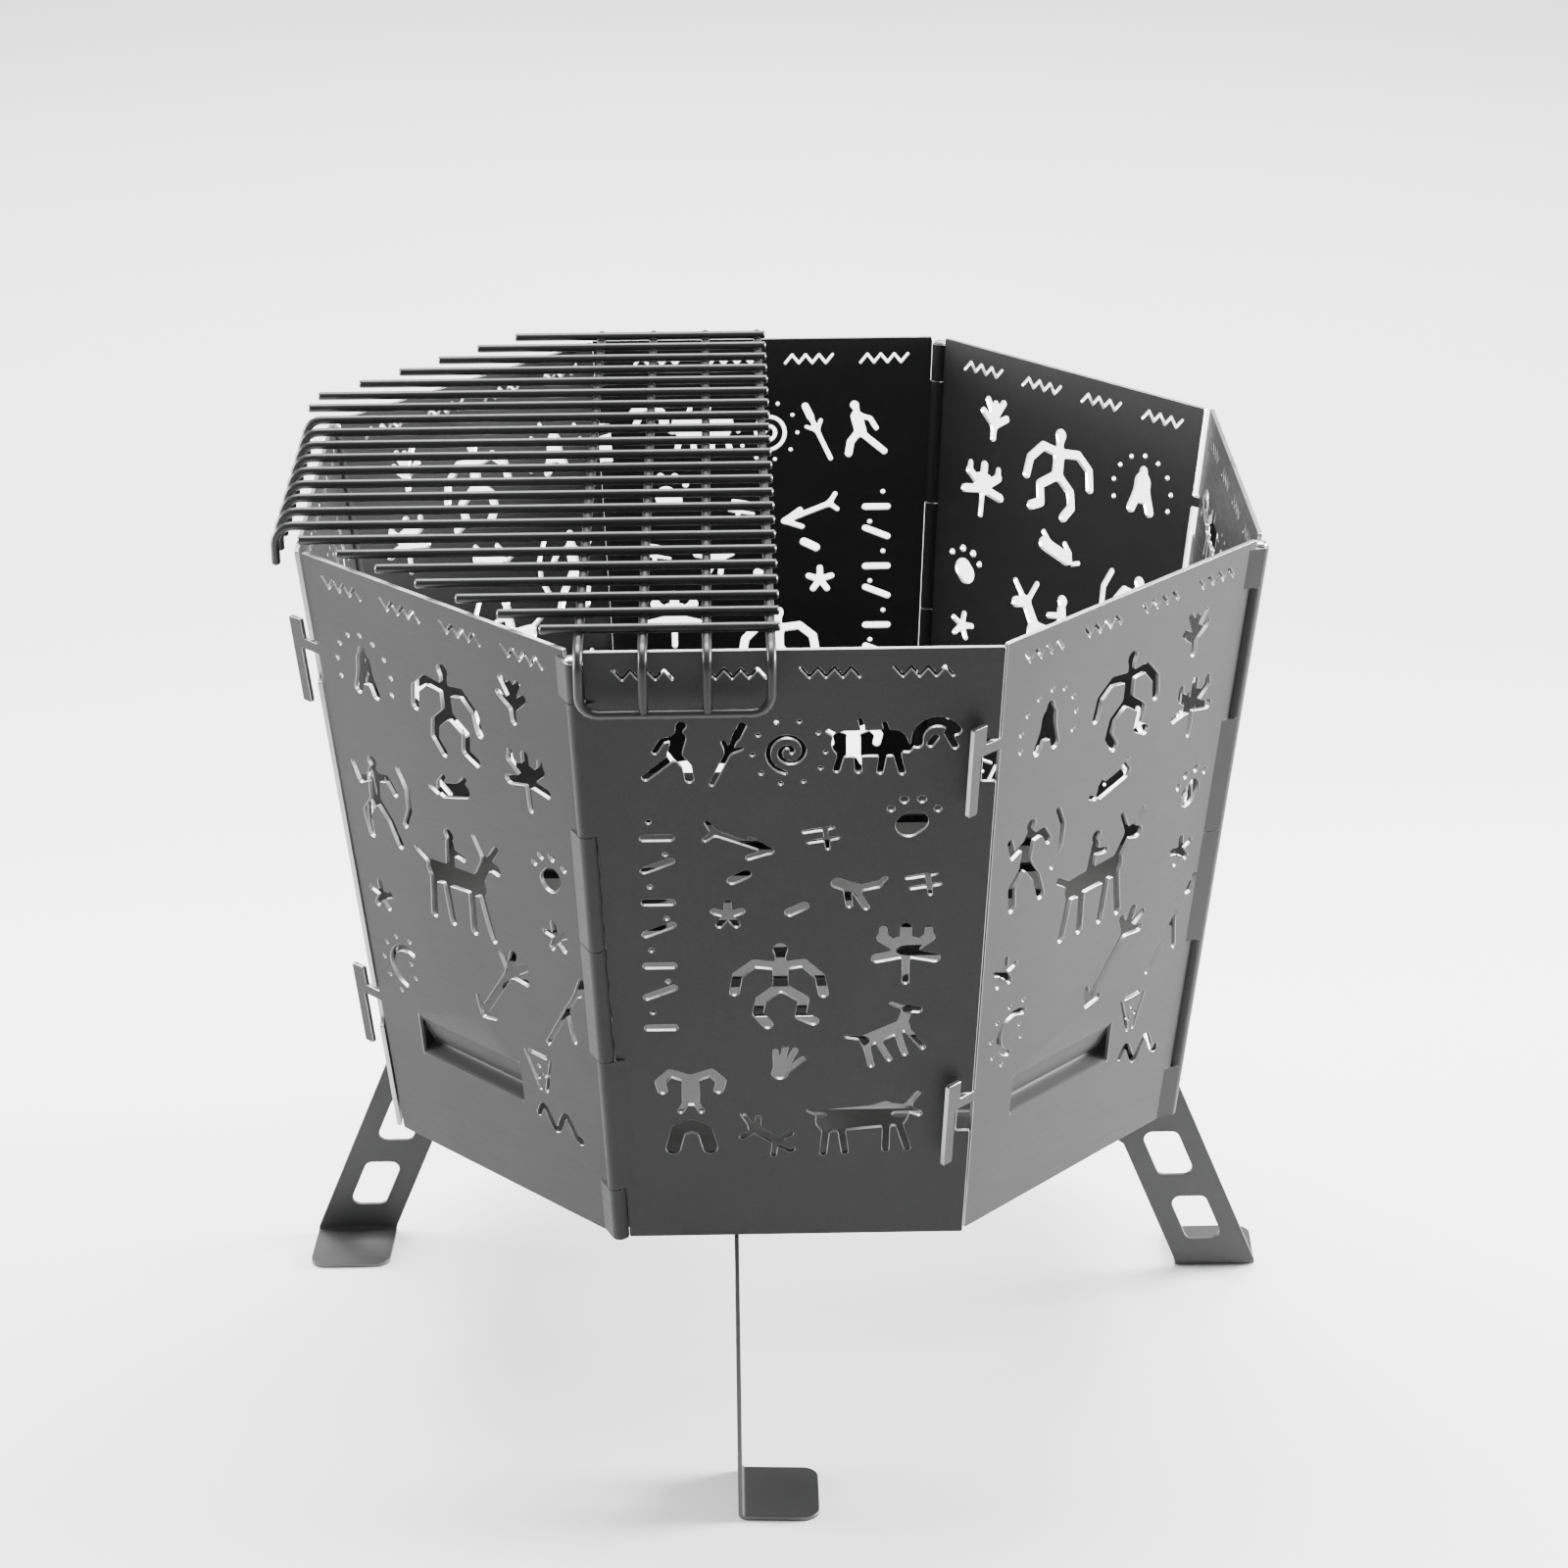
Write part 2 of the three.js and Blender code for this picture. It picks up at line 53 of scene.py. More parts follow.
# ------------------------------------------------------------------ driving dimensions
# An apothem is the distance from the middle of the octagon to the middle of a side.
TOP_APOTHEM = 210
BOTTOM_APOTHEM = 180
BODY_HEIGHT = 290
STAND_HEIGHT = 115
SHEET = 2
THIN_SHEET = 1.5
GAP = 0.3
HALF_STEP = math.pi / 8
LEAN = math.atan2(TOP_APOTHEM - BOTTOM_APOTHEM, BODY_HEIGHT)
SLANT = math.hypot(TOP_APOTHEM - BOTTOM_APOTHEM, BODY_HEIGHT)
HALF_BOTTOM = BOTTOM_APOTHEM * math.tan(HALF_STEP)
HALF_TOP = TOP_APOTHEM * math.tan(HALF_STEP)
FLARE_SLOPE = (HALF_TOP - HALF_BOTTOM) / SLANT
RIM_Z = STAND_HEIGHT + BODY_HEIGHT

PLACES = ["front", "front_right", "right", "back_right", "back", "back_left", "left", "front_left"]

# Hinges and hooks, along a panel's slant.
KNUCKLE_ENDS = [0, 27, 94, 150, 206, 269, 288]
DOOR_KNUCKLES = [0, 2, 3, 5]
WALL_KNUCKLES = [1, 4]
KNUCKLE_RADIUS = 3.9
WRAP_REACH = 9      # how far from the pin the rolled sheet leaves the panel's plane
BORE_RADIUS = 1.75
PIN_RADIUS = 1.5
AXIS_INSET = SHEET / 2 * math.tan(HALF_STEP)
KNUCKLE_INSET = AXIS_INSET + 2.8
EDGE_INSET = 4.5
HOOK_FEET = [41, 216]
HOOK_PRONG = 27
HOOK_NECK = 5
HOOK_HEAD = 14
HOOK_REACH = 13
HOOK_SLOT = 7.5
HEAD_SLOT = 5
RIM_OVERLAP = 2
DOOR_SETBACK = 4.5
NOTCH_DEPTH = 4.2
NOTCH_DROP = 14
NOTCH_HEADROOM = 1

RIM = 0.14            # width of the chamfer round every sheet edge
SMOOTH_ANGLE = 34     # degrees: sharper creases than this stay sharp
FILLET_SHARE = 0.45   # the most of a side that one rounded corner may use
SHORTEST_FILLET = 0.02
NEARLY_STRAIGHT = 175  # degrees


def half_width(v):
    """Half of a panel's full width at a height along its slant."""
    return HALF_BOTTOM + FLARE_SLOPE * v


# ------------------------------------------------------------------ outlines
def fillet(points, radius, steps=5, closed=True):
    """The same path with its corners rounded. Works in the plane and in space."""
    corners = [Vector(p) for p in points]
    count = len(corners)
    path = []
    for i, corner in enumerate(corners):
        if not closed and i in (0, count - 1):
            path.append(corner)
            continue
        back = corners[i - 1] - corner
        ahead = corners[(i + 1) % count] - corner
        angle = back.angle(ahead)
        reach = radius / math.tan(angle / 2)
        reach = min(reach, FILLET_SHARE * back.length, FILLET_SHARE * ahead.length)
        if reach < SHORTEST_FILLET or angle > math.radians(NEARLY_STRAIGHT):
            path.append(corner)
            continue
        start = corner + back.normalized() * reach
        end = corner + ahead.normalized() * reach
        middle = corner + (back.normalized() + ahead.normalized()).normalized() * (
            reach / math.cos(angle / 2))
        arm = start - middle
        other = end - middle
        sweep = math.pi - angle
        for step in range(steps + 1):
            part = step / steps
            weight_a = math.sin((1 - part) * sweep) / math.sin(sweep)
            weight_b = math.sin(part * sweep) / math.sin(sweep)
            path.append(middle + arm * weight_a + other * weight_b)
    return path


def stadium(cx, cy, length, width, steps=8):
    """A slot with round ends, lying along x."""
    reach = (length - width) / 2
    points = []
    for side, start in ((1, -math.pi / 2), (-1, math.pi / 2)):
        for step in range(steps + 1):
            angle = start + math.pi * step / steps
            points.append(Vector((cx + side * reach + width / 2 * math.cos(angle),
                                  cy + width / 2 * math.sin(angle))))
    return points


def octagon(apothem):
    radius = apothem / math.cos(HALF_STEP)
    return [Vector((radius * math.cos((2 * i + 1) * HALF_STEP),
                    radius * math.sin((2 * i + 1) * HALF_STEP))) for i in range(8)]


# ------------------------------------------------------------------ cut-out figures
# A figure is a list of brush strokes: a radius, then the points that the brush passes.
def arc_stroke(radius, reach, start, end, steps=10, grow=0.0):
    points = []
    for step in range(steps + 1):
        angle = math.radians(start + (end - start) * step / steps)
        distance = reach + grow * step / steps
        points.append((distance * math.cos(angle), distance * math.sin(angle)))
    return (radius, *points)


def dots(count, reach, start, end, radius=1.05):
    spots = arc_stroke(radius, reach, start, end, count - 1)[1:]
    return [(radius, spot) for spot in spots]


def spokes(angles, length, radius, inner=0.0):
    strokes = []
    for degrees in angles:
        c = math.cos(math.radians(degrees))
        s = math.sin(math.radians(degrees))
        strokes.append((radius, (inner * c, inner * s), (length * c, length * s)))
    return strokes


def turned(strokes, degrees, scale=1.0):
    c = math.cos(math.radians(degrees)) * scale
    s = math.sin(math.radians(degrees)) * scale
    return [(r * scale, *[(c * x - s * y, s * x + c * y) for x, y in points])
            for r, *points in strokes]


def animal(body, height, leg, head, extras=()):
    """A four-legged animal facing right."""
    half = body / 2
    strokes = [(height / 2, (-half, 1), (half, 2))]
    for x, lean in ((-half - 1, -2), (-half + 4, 1), (half - 3, -1), (half + 1, 3)):
        strokes.append((1.3, (x, 0), (x + lean, -leg)))
    strokes.append((1.9, (half, 3), head))
    strokes.append((1.0, (-half - 2, 3), (-half - 7, 6)))
    return strokes + list(extras)


BELL = [(4.2, (0, 4), (0, -1)), (2.2, (-5, -8), (-2, 0)), (2.2, (5, -8), (2, 0)),
        (2.0, (0, 6), (0, 9)), *dots(9, 15.5, -20, 200)]
DANCER = [(2.2, (0, 14)), (1.5, (0, 12), (0, 9)), (2.2, (0, 7), (0, 1)),
          (1.5, (0, 8), (-8, 9), (-13, 5), (-14, -1)), (1.5, (0, 8), (7, 9), (12, 4), (13, -2)),
          (1.6, (-1, 0), (-6, -4), (-7, -9), (-4, -13)), (1.6, (1, 0), (7, -4), (6, -10), (10, -12))]
HUNTER = [(2.0, (0, 13)), (2.4, (0, 9), (-1, 1)), (1.3, (0, 8), (6, 9), (9, 5)),
          (1.2, (-1, 8), (-7, 5), (-9, 10)), (1.6, (-1, 0), (-6, -6), (-5, -13)),
          (1.6, (0, 0), (5, -6), (8, -13)), (1.0, (12, 14), (15, 8), (15, 1), (12, -5))]
RUNNER = [(2.2, (2, 13)), (1.4, (1, 11), (1, 9)), (2.9, (1, 7), (-1, 0)),
          (1.3, (1, 8), (-6, 6), (-9, 1)), (1.7, (-1, -1), (-7, -6), (-13, -11)),
          (1.9, (0, -1), (4, -6), (5, -12))]
LEAF = [(1.4, (0, -8), (0, 6)), (1.5, (0, -3), (-6, 1)), (1.5, (0, -3), (6, 2)),
        (1.4, (0, 0), (-4, 7)), (1.4, (0, 0), (4, 7))]
MAPLE = [*spokes((90, 38, 142, -12, 192), 10.5, 1.9), *spokes((62, 118), 6, 1.4),
         (1.2, (0, 0), (0, -12)), (1.3, (8, 6), (8, 10)), (1.3, (-8, 6), (-8, 10))]
PAW = [(4.6, (0, -3), (2, -1)), (1.4, (-7, 3)), (1.6, (-3, 7)), (1.6, (3, 8)), (1.4, (9, 5))]
LOAF = [(3.1, (-7, 0), (7, 1)), (1.2, (-8, 3), (-4, 6)), (1.2, (5, 3), (9, 6)),
        (1.0, (-11, -1), (-14, 1))]
STAG = animal(18, 7, 14, (14, 11), [(1.8, (14, 11), (18, 10)), (0.9, (13, 12), (10, 18)),
                                    (0.9, (15, 12), (19, 17)), (1.7, (-2, 5), (-1, 12)),
                                    (1.9, (-1, 15)), (1.0, (-1, 10), (4, 9))])
GOAT = turned(animal(16, 6, 11, (13, 9), [(1.7, (13, 9), (17, 7)), (0.9, (12, 10), (8, 14))]),
              22, 0.9)
BOAR = animal(17, 11, 10, (14, 0), [(1.0, (6, 7), (5, 10)), (0.9, (-3, 8), (-4, 11))])
OX = animal(24, 10, 13, (17, 5), [(0.9, (17, 6), (21, 11)), (1.3, (17, 4), (21, 2)),
                                  (2.2, (6, 5), (9, 6))])
STAR = spokes((90, 162, 234, 306, 378), 5.0, 1.15)
FLOWER = [*spokes((90, 162, 234, 306, 378), 6.0, 1.6, 3.2), (1.1, (0, 0))]
CRESCENT = [arc_stroke(1.5, 10, 60, 255), *dots(6, 15.5, 75, 245), (1.0, (3, 3)), (1.0, (5, -4))]
FLINT = [(2.1, (-15, -17), (9, 10)), (2.0, (9, 10), (6, 19)), (2.2, (9, 10), (14, 21)),
         (2.0, (9, 10), (21, 16)), (1.9, (9, 10), (20, 8)), (1.8, (-17, -10), (-16, -19), (-8, -18))]
DART = [(1.3, (-12, -20), (17, 22)), (2.4, (15, 18), (18, 24)), (1.4, (5, 5), (8, -12))]
NET = [(0.9, (-8, 8), (-1, -9)), (0.9, (3, -9), (8, 7)), (0.9, (-5, 9), (5, 9)), (1.0, (0, 3)),
       (1.0, (-1, -3)), (1.0, (3, -1))]
SERPENT = [(1.4, *[(1.7 * i - 13, 5 * math.sin(0.75 * i)) for i in range(16)]), (1.9, (13, -5))]
SPIRAL = [arc_stroke(1.0, 1.2, 0, 620, 40, 8.5), *dots(10, 15, 0, 330)]
CURL = [arc_stroke(2.4, 8.5, 30, 190), (1.6, (-3, -2), (-1, 1)), (1.6, (4, 3), (7, -3))]
ARROW = [(1.4, (-13, 5), (10, -4)), (1.3, (2, 2), (10, -4), (1, -7)), (1.2, (-13, 5), (-16, 10)),
         (1.2, (-13, 5), (-17, 2))]
BIRD = [(2.6, (-6, 3), (2, 0)), (1.7, (2, 0), (11, 2)), (1.5, (1, 0), (6, -9)),
        (1.4, (-2, 0), (-1, -8)), (1.1, (11, 2), (14, 5))]
DASHES = [(0.9, (-7, 3), (5, 5)), (0.9, (-5, -2), (7, 0)), (0.9, (2, 3), (3, -5))]
OVAL = [(2.1, (-3, -1), (3, 2))]
HAND = [(3.2, (0, -4), (0, -2)),
        *[(1.1, (x * 0.5, -1), (x, y)) for x, y in ((-5, 5), (-2, 8), (2, 8), (6, 5))]]
HORNS = [(3.4, (0, -2), (0, -8)), (1.9, (0, 1), (-8, 4), (-12, 0), (-11, -4)),
         (1.9, (0, 1), (8, 4), (12, 0), (11, -4)), (1.2, (-2, -10), (-4, -14)),
         (1.2, (2, -10), (4, -14))]
ARCH = [(2.8, (-7, -5), (-5, 3), (0, 5), (5, 3), (7, -5))]
LIZARD = turned([(1.9, (-7, 0), (7, 0)), (1.7, (9, 0), (11, 0)), (1.0, (-7, 0), (-14, 3)),
                 (1.1, (4, 0), (7, 6)), (1.1, (4, 0), (7, -6)), (1.1, (-5, 0), (-8, 5)),
                 (1.1, (-5, 0), (-8, -6))], -35)
SPEAR_UP = [(1.2, (0, -16), (0, 8)), (1.8, (0, 8), (0, 14)), (1.0, (-4, 4), (0, 0), (4, 4))]
ZIGZAG = [(0.75, *[(3.4 * i - 12, 2.1 * (-1) ** i) for i in range(8)])]
# A column of plain marks.
TALLY = [stroke for i in range(7) for stroke in (
    (1.5, (-5, 14 * i - 42), (5, 14 * i - 42 + (4 if i % 2 else 0))),
    (1.1, (3 if i % 2 else -3, 14 * i - 35)))]

# The middle of each figure: from the panel's centre line, and along its slant.
CORNER_FIGURES = [
    (turned(BELL, 0, 1.15), -50, 243), (turned(DANCER, 0, 1.5), 3, 238),
    (turned(LEAF, 0, 1.25), 46, 258), (turned(HUNTER, 0, 1.45), -54, 179),
    (turned(LOAF, 12, 1.1), 0, 200), (turned(MAPLE, 0, 1.15), 50, 221),
    (turned(PAW, 0, 1.15), 56, 178), (turned(STAG, 0, 1.55), -6, 153),
    (turned(STAR, 8, 1.3), 56, 147), (turned(STAR, 0, 1.3), -61, 128), (CRESCENT, -50, 94),
    (turned(FLINT, 4, 0.95), 14, 107), (turned(DART, 0, 0.9), 53, 107), (NET, 34, 71),
    (SERPENT, 43, 48),
]
WALL_FIGURES = [
    (RUNNER, -45, 244), (turned(SPEAR_UP, -25), -24, 244), (SPIRAL, 1, 244),
    (turned(BOAR, -3, 1.12), 34, 246), (CURL, 62, 249), (turned(PAW, -8, 1.2), 51, 212),
    (ARROW, -17, 201), (DASHES, 14, 203), (BIRD, 27, 178), (DASHES, 57, 180),
    (turned(TALLY, 0, 1.12), -54, 157), (OVAL, -20, 184), (OVAL, 4, 168), (FLOWER, -25, 166),
    (turned(DANCER, 0, 1.4), -3, 129), (turned(MAPLE, 0, 1.2), 50, 146),
    (turned(HAND, -20, 1.1), -2, 90), (turned(GOAT, 0, 1.15), 42, 104),
    (turned(HORNS, 0, 1.1), -42, 82), (turned(ARCH, 0, 1.15), -42, 53),
    (turned(LIZARD, 0, 1.1), -9, 53), (turned(OX, 3, 1.18), 32, 60),
]
ZIGZAG_HEIGHT = 281
ZIGZAG_PLACES = [-58, -20, 18, 56]

GRID = 0.45          # spacing of the samples that an outline is found from
BLEND = 0.4          # how softly strokes flow together
MARGIN = 8           # how far beyond a stroke's points its samples reach
TOLERANCE = 0.05     # how far a dropped point may lie from the kept outline
LONGEST_STEP = 6     # a kept point is added when the next one would be further than this
SMALLEST_HOLE = 1.0  # square millimetres


def stroke_distance(grid_x, grid_y, radius, points):
    """How far each sample lies outside one brush stroke."""
    nearest = np.full(grid_x.shape, 1e9)
    for (ax, ay), (bx, by) in zip(points, points[1:] or points):
        dx, dy = bx - ax, by - ay
        length = max(dx * dx + dy * dy, 1e-9)
        part = np.clip(((grid_x - ax) * dx + (grid_y - ay) * dy) / length, 0, 1)
        away = np.hypot(grid_x - ax - part * dx, grid_y - ay - part * dy)
        nearest = np.minimum(nearest, away)
    return nearest - radius


def figure_loops(strokes):
    """The outer outlines of all the strokes, found on a grid of samples. Islands are left out."""
    spots = np.array([point for _, *points in strokes for point in points])
    low = spots.min(axis=0) - MARGIN
    high = spots.max(axis=0) + MARGIN
    axis_x = np.arange(low[0], high[0], GRID)
    axis_y = np.arange(low[1], high[1], GRID)
    total = np.full((len(axis_x), len(axis_y)), 1e-9)
    for radius, *points in strokes:
        xs, ys = np.array(points).T
        near_x = (axis_x > xs.min() - MARGIN) & (axis_x < xs.max() + MARGIN)
        near_y = (axis_y > ys.min() - MARGIN) & (axis_y < ys.max() + MARGIN)
        grid_x, grid_y = np.meshgrid(axis_x[near_x], axis_y[near_y], indexing="ij")
        nearness = np.exp(-stroke_distance(grid_x, grid_y, radius, points) / BLEND)
        total[np.ix_(near_x, near_y)] += nearness
    field = -BLEND * np.log(total)
    inside = field < 0

    def crossing(a, b):
        part = field[a] / (field[a] - field[b])
        return Vector((axis_x[a[0]] + part * (axis_x[b[0]] - axis_x[a[0]]),
                       axis_y[a[1]] + part * (axis_y[b[1]] - axis_y[a[1]])))

    # In each cell an outline enters where the corners go from inside to outside, and leaves
    # at the next change, so the inside stays on its left.
    links = {}
    places = {}
    mixed = inside[:-1, :-1].astype(int) + inside[1:, :-1] + inside[1:, 1:] + inside[:-1, 1:]
    for i, j in zip(*np.nonzero((mixed > 0) & (mixed < 4))):
        corners = [(i, j), (i + 1, j), (i + 1, j + 1), (i, j + 1)]
        changes = []
        for k in range(4):
            a, b = corners[k], corners[(k + 1) % 4]
            if inside[a] != inside[b]:
                key = (min(a, b), max(a, b))
                places[key] = crossing(*key)
                changes.append((key, inside[a]))
        for k, (key, leaving) in enumerate(changes):
            if leaving:
                links[key] = changes[(k + 1) % len(changes)][0]
    loops = []
    while links:
        key, following = links.popitem()
        loop = [places[key]]
        while following != key:
            loop.append(places[following])
            following = links.pop(following)
        if signed_area(loop) > SMALLEST_HOLE:
            loops.append(thinned(loop))
    return loops


def thinned(loop):
    """The loop without the points that lie on a nearly straight stretch."""
    kept = [loop[0]]
    waiting = []
    for point in loop[1:] + loop[:1]:
        chord = point - kept[-1]
        length = max(chord.length, 1e-6)
        if waiting:
            off = max(abs(chord.cross(p - kept[-1])) / length for p in waiting)
            if off > TOLERANCE or length > LONGEST_STEP:
                kept.append(waiting[-1])
                waiting = []
        waiting.append(point)
    return kept


def figure_holes(figures):
    """One hole for each group of strokes that touch."""
    return figure_loops([(radius, *[(x + u, y + v) for x, y in points])
                         for strokes, u, v in figures for radius, *points in strokes])


# ------------------------------------------------------------------ mesh makers
FACE = 0     # material index of a sheet's two faces
EDGE = 1     # material index of its cut edges


def signed_area(loop):
    return sum(a.cross(b) for a, b in zip(loop, loop[1:] + loop[:1])) / 2


def inset(loop, distance):
    """The loop moved to its left, which is into the sheet."""
    moved = []
    for i, point in enumerate(loop):
        before = (point - loop[i - 1]).normalized()
        after = (loop[(i + 1) % len(loop)] - point).normalized()
        along = (before + after).normalized()
        moved.append(point + Vector((-along.y, along.x)) * distance)
    return moved


def add_sheet(bm, outline, holes, thickness):
    """A flat sheet in x and y, with its middle at z = 0 and a chamfer round every edge."""
    loops = [[Vector(p).to_2d() for p in loop] for loop in [outline, *holes]]
    for index, loop in enumerate(loops):
        if (signed_area(loop) > 0) != (index == 0):
            loop.reverse()
    half = thickness / 2
    levels = [(-half, RIM), (-half + RIM, 0), (half - RIM, 0), (half, RIM)]
    bottom_edges = []
    top_edges = []
    for loop in loops:
        rings = []
        for z, distance in levels:
            ring = inset(loop, distance) if distance else loop
            rings.append([bm.verts.new((p.x, p.y, z)) for p in ring])
        for low, high in zip(rings, rings[1:]):
            for i in range(len(loop)):
                j = (i + 1) % len(loop)
                face = bm.faces.new((low[i], low[j], high[j], high[i]))
                face.material_index = EDGE
        bottom_edges += [bm.edges.get((rings[0][i - 1], rings[0][i])) for i in range(len(loop))]
        top_edges += [bm.edges.get((rings[-1][i - 1], rings[-1][i])) for i in range(len(loop))]
    for edges in (bottom_edges, top_edges):
        filled = bmesh.ops.triangle_fill(bm, use_beauty=True, use_dissolve=False, edges=edges)
        for item in filled["geom"]:
            if isinstance(item, bmesh.types.BMFace):
                item.material_index = FACE
    bmesh.ops.recalc_face_normals(bm, faces=bm.faces)


def slice_lines(bm, normal, offsets):
    """Adds edges where the sheet crosses parallel planes, so that it can bend there."""
    for offset in offsets:
        geometry = bm.verts[:] + bm.edges[:] + bm.faces[:]
        bmesh.ops.bisect_plane(bm, geom=geometry, dist=1e-5, plane_co=Vector(normal) * offset,
                               plane_no=Vector(normal))


TUBE_SIDES = 14
LATHE_SIDES = 20
NIB_LENGTH = 0.3     # length of a wire's chamfered end, as a share of its radius
NIB_RADIUS = 0.72    # radius at the tip, as a share of the wire's


def add_tube(bm, path, radius):
    """A round wire along a path, with chamfered ends."""
    points = [Vector(p) for p in path]
    first = (points[1] - points[0]).normalized()
    last = (points[-1] - points[-2]).normalized()
    nib = NIB_LENGTH * radius
    stations = [(points[0], NIB_RADIUS), (points[0] + first * nib, 1)]
    stations += [(p, 1) for p in points[1:-1]]
    stations += [(points[-1] - last * nib, 1), (points[-1], NIB_RADIUS)]
    centres = [place for place, _ in stations]
    side = first.orthogonal().normalized()
    rings = []
    for i, (place, share) in enumerate(stations):
        ahead = (centres[min(i + 1, len(centres) - 1)] - centres[max(i - 1, 0)]).normalized()
        side = (side - ahead * side.dot(ahead)).normalized()
        other = ahead.cross(side)
        ring = []
        for k in range(TUBE_SIDES):
            angle = 2 * math.pi * k / TUBE_SIDES
            spoke = side * math.cos(angle) + other * math.sin(angle)
            ring.append(bm.verts.new(place + spoke * radius * share))
        rings.append(ring)
    for low, high in zip(rings, rings[1:]):
        for k in range(TUBE_SIDES):
            j = (k + 1) % TUBE_SIDES
            bm.faces.new((low[k], low[j], high[j], high[k])).material_index = FACE
    bm.faces.new(rings[0][::-1]).material_index = FACE
    bm.faces.new(rings[-1]).material_index = FACE


def add_prism(bm, section, start, end, x_axis, y_axis):
    """A straight bar whose cross-section is a list of 2-D points in the two given axes."""
    low = [bm.verts.new(start + x_axis * p.x + y_axis * p.y) for p in section]
    high = [bm.verts.new(end + x_axis * p.x + y_axis * p.y) for p in section]
    count = len(section)
    for k in range(count):
        j = (k + 1) % count
        bm.faces.new((low[k], low[j], high[j], high[k])).material_index = FACE
    for cap in (low[::-1], high):
        bm.faces.new(cap).material_index = EDGE


def add_lathe(bm, profile, start, direction):
    """A round solid: profile is a list of (distance along the axis, radius)."""
    side = direction.orthogonal().normalized()
    other = direction.cross(side)
    rings = []
    for along, radius in profile:
        ring = []
        for k in range(LATHE_SIDES):
            angle = 2 * math.pi * k / LATHE_SIDES
            spoke = side * math.cos(angle) + other * math.sin(angle)
            ring.append(bm.verts.new(start + direction * along + spoke * radius))
        rings.append(ring)
    for low, high in zip(rings, rings[1:]):
        for k in range(LATHE_SIDES):
            j = (k + 1) % LATHE_SIDES
            bm.faces.new((low[k], low[j], high[j], high[k])).material_index = FACE
    bm.faces.new(rings[0][::-1]).material_index = FACE
    bm.faces.new(rings[-1]).material_index = FACE


def finish_mesh(bm, name, matrix, materials):
    """Turns a bmesh in millimetres into a placed object in metres."""
    bmesh.ops.recalc_face_normals(bm, faces=bm.faces)
    bmesh.ops.transform(bm, matrix=Matrix.Scale(MM, 4) @ matrix, verts=bm.verts)
    mesh = bpy.data.meshes.new(name)
    bm.to_mesh(mesh)
    bm.free()
    for polygon in mesh.polygons:
        polygon.use_smooth = True
    mesh.set_sharp_from_angle(angle=math.radians(SMOOTH_ANGLE))
    for material in materials:
        mesh.materials.append(material)
    piece = bpy.data.objects.new(name, mesh)
    bpy.context.scene.collection.objects.link(piece)
    return piece


def stand_for(piece, node, body):
    """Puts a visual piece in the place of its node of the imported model."""
    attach(piece, body)
    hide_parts(node)


# ------------------------------------------------------------------ materials
class Nodes:
    """A short way to write a material's node tree."""

    def __init__(self, name):
        self.material = bpy.data.materials.new(name)
        self.material.use_nodes = True
        self.tree = self.material.node_tree
        self.shader = self.tree.nodes["Principled BSDF"]
        self.place = self.add("ShaderNodeTexCoord").outputs["Object"]

    def add(self, kind, **values):
        node = self.tree.nodes.new(kind)
        for key, value in values.items():
            setattr(node, key, value)
        return node

    def link(self, output, socket):
        self.tree.links.new(output, socket)

    def noise(self, scale, detail=3.0, roughness=0.55, stretch=(1, 1, 1)):
        mapping = self.add("ShaderNodeMapping")
        mapping.inputs["Scale"].default_value = stretch
        self.link(self.place, mapping.inputs["Vector"])
        node = self.add("ShaderNodeTexNoise")
        node.inputs["Scale"].default_value = scale
        node.inputs["Detail"].default_value = detail
        node.inputs["Roughness"].default_value = roughness
        self.link(mapping.outputs["Vector"], node.inputs["Vector"])
        return node.outputs["Fac"]

    def ramp(self, value, stops):
        node = self.add("ShaderNodeValToRGB")
        elements = node.color_ramp.elements
        while len(elements) < len(stops):
            elements.new(0.5)
        for element, (position, color) in zip(elements, stops):
            element.position = position
            element.color = (*color, 1)
        self.link(value, node.inputs["Fac"])
        return node.outputs["Color"]

    def span(self, value, low, high, from_low=0.3, from_high=0.7):
        node = self.add("ShaderNodeMapRange")
        node.inputs["From Min"].default_value = from_low
        node.inputs["From Max"].default_value = from_high
        node.inputs["To Min"].default_value = low
        node.inputs["To Max"].default_value = high
        self.link(value, node.inputs["Value"])
        return node.outputs["Result"]

    def mix(self, factor, first, plain_tone):
        node = self.add("ShaderNodeMix", data_type="RGBA")
        self.link(factor, node.inputs["Factor"])
        self.link(first, node.inputs["A"])
        node.inputs["B"].default_value = (*plain_tone, 1)
        return node.outputs["Result"]

    def bump(self, height, distance, strength=1.0, below=None):
        node = self.add("ShaderNodeBump")
        node.inputs["Distance"].default_value = distance
        node.inputs["Strength"].default_value = strength
        self.link(height, node.inputs["Height"])
        if below is not None:
            self.link(below, node.inputs["Normal"])
        return node.outputs["Normal"]

    def set(self, name, value):
        self.shader.inputs[name].default_value = value


def grey(value, warmth=0.0):
    return (value * (1 + warmth), value, value * (1 - warmth))


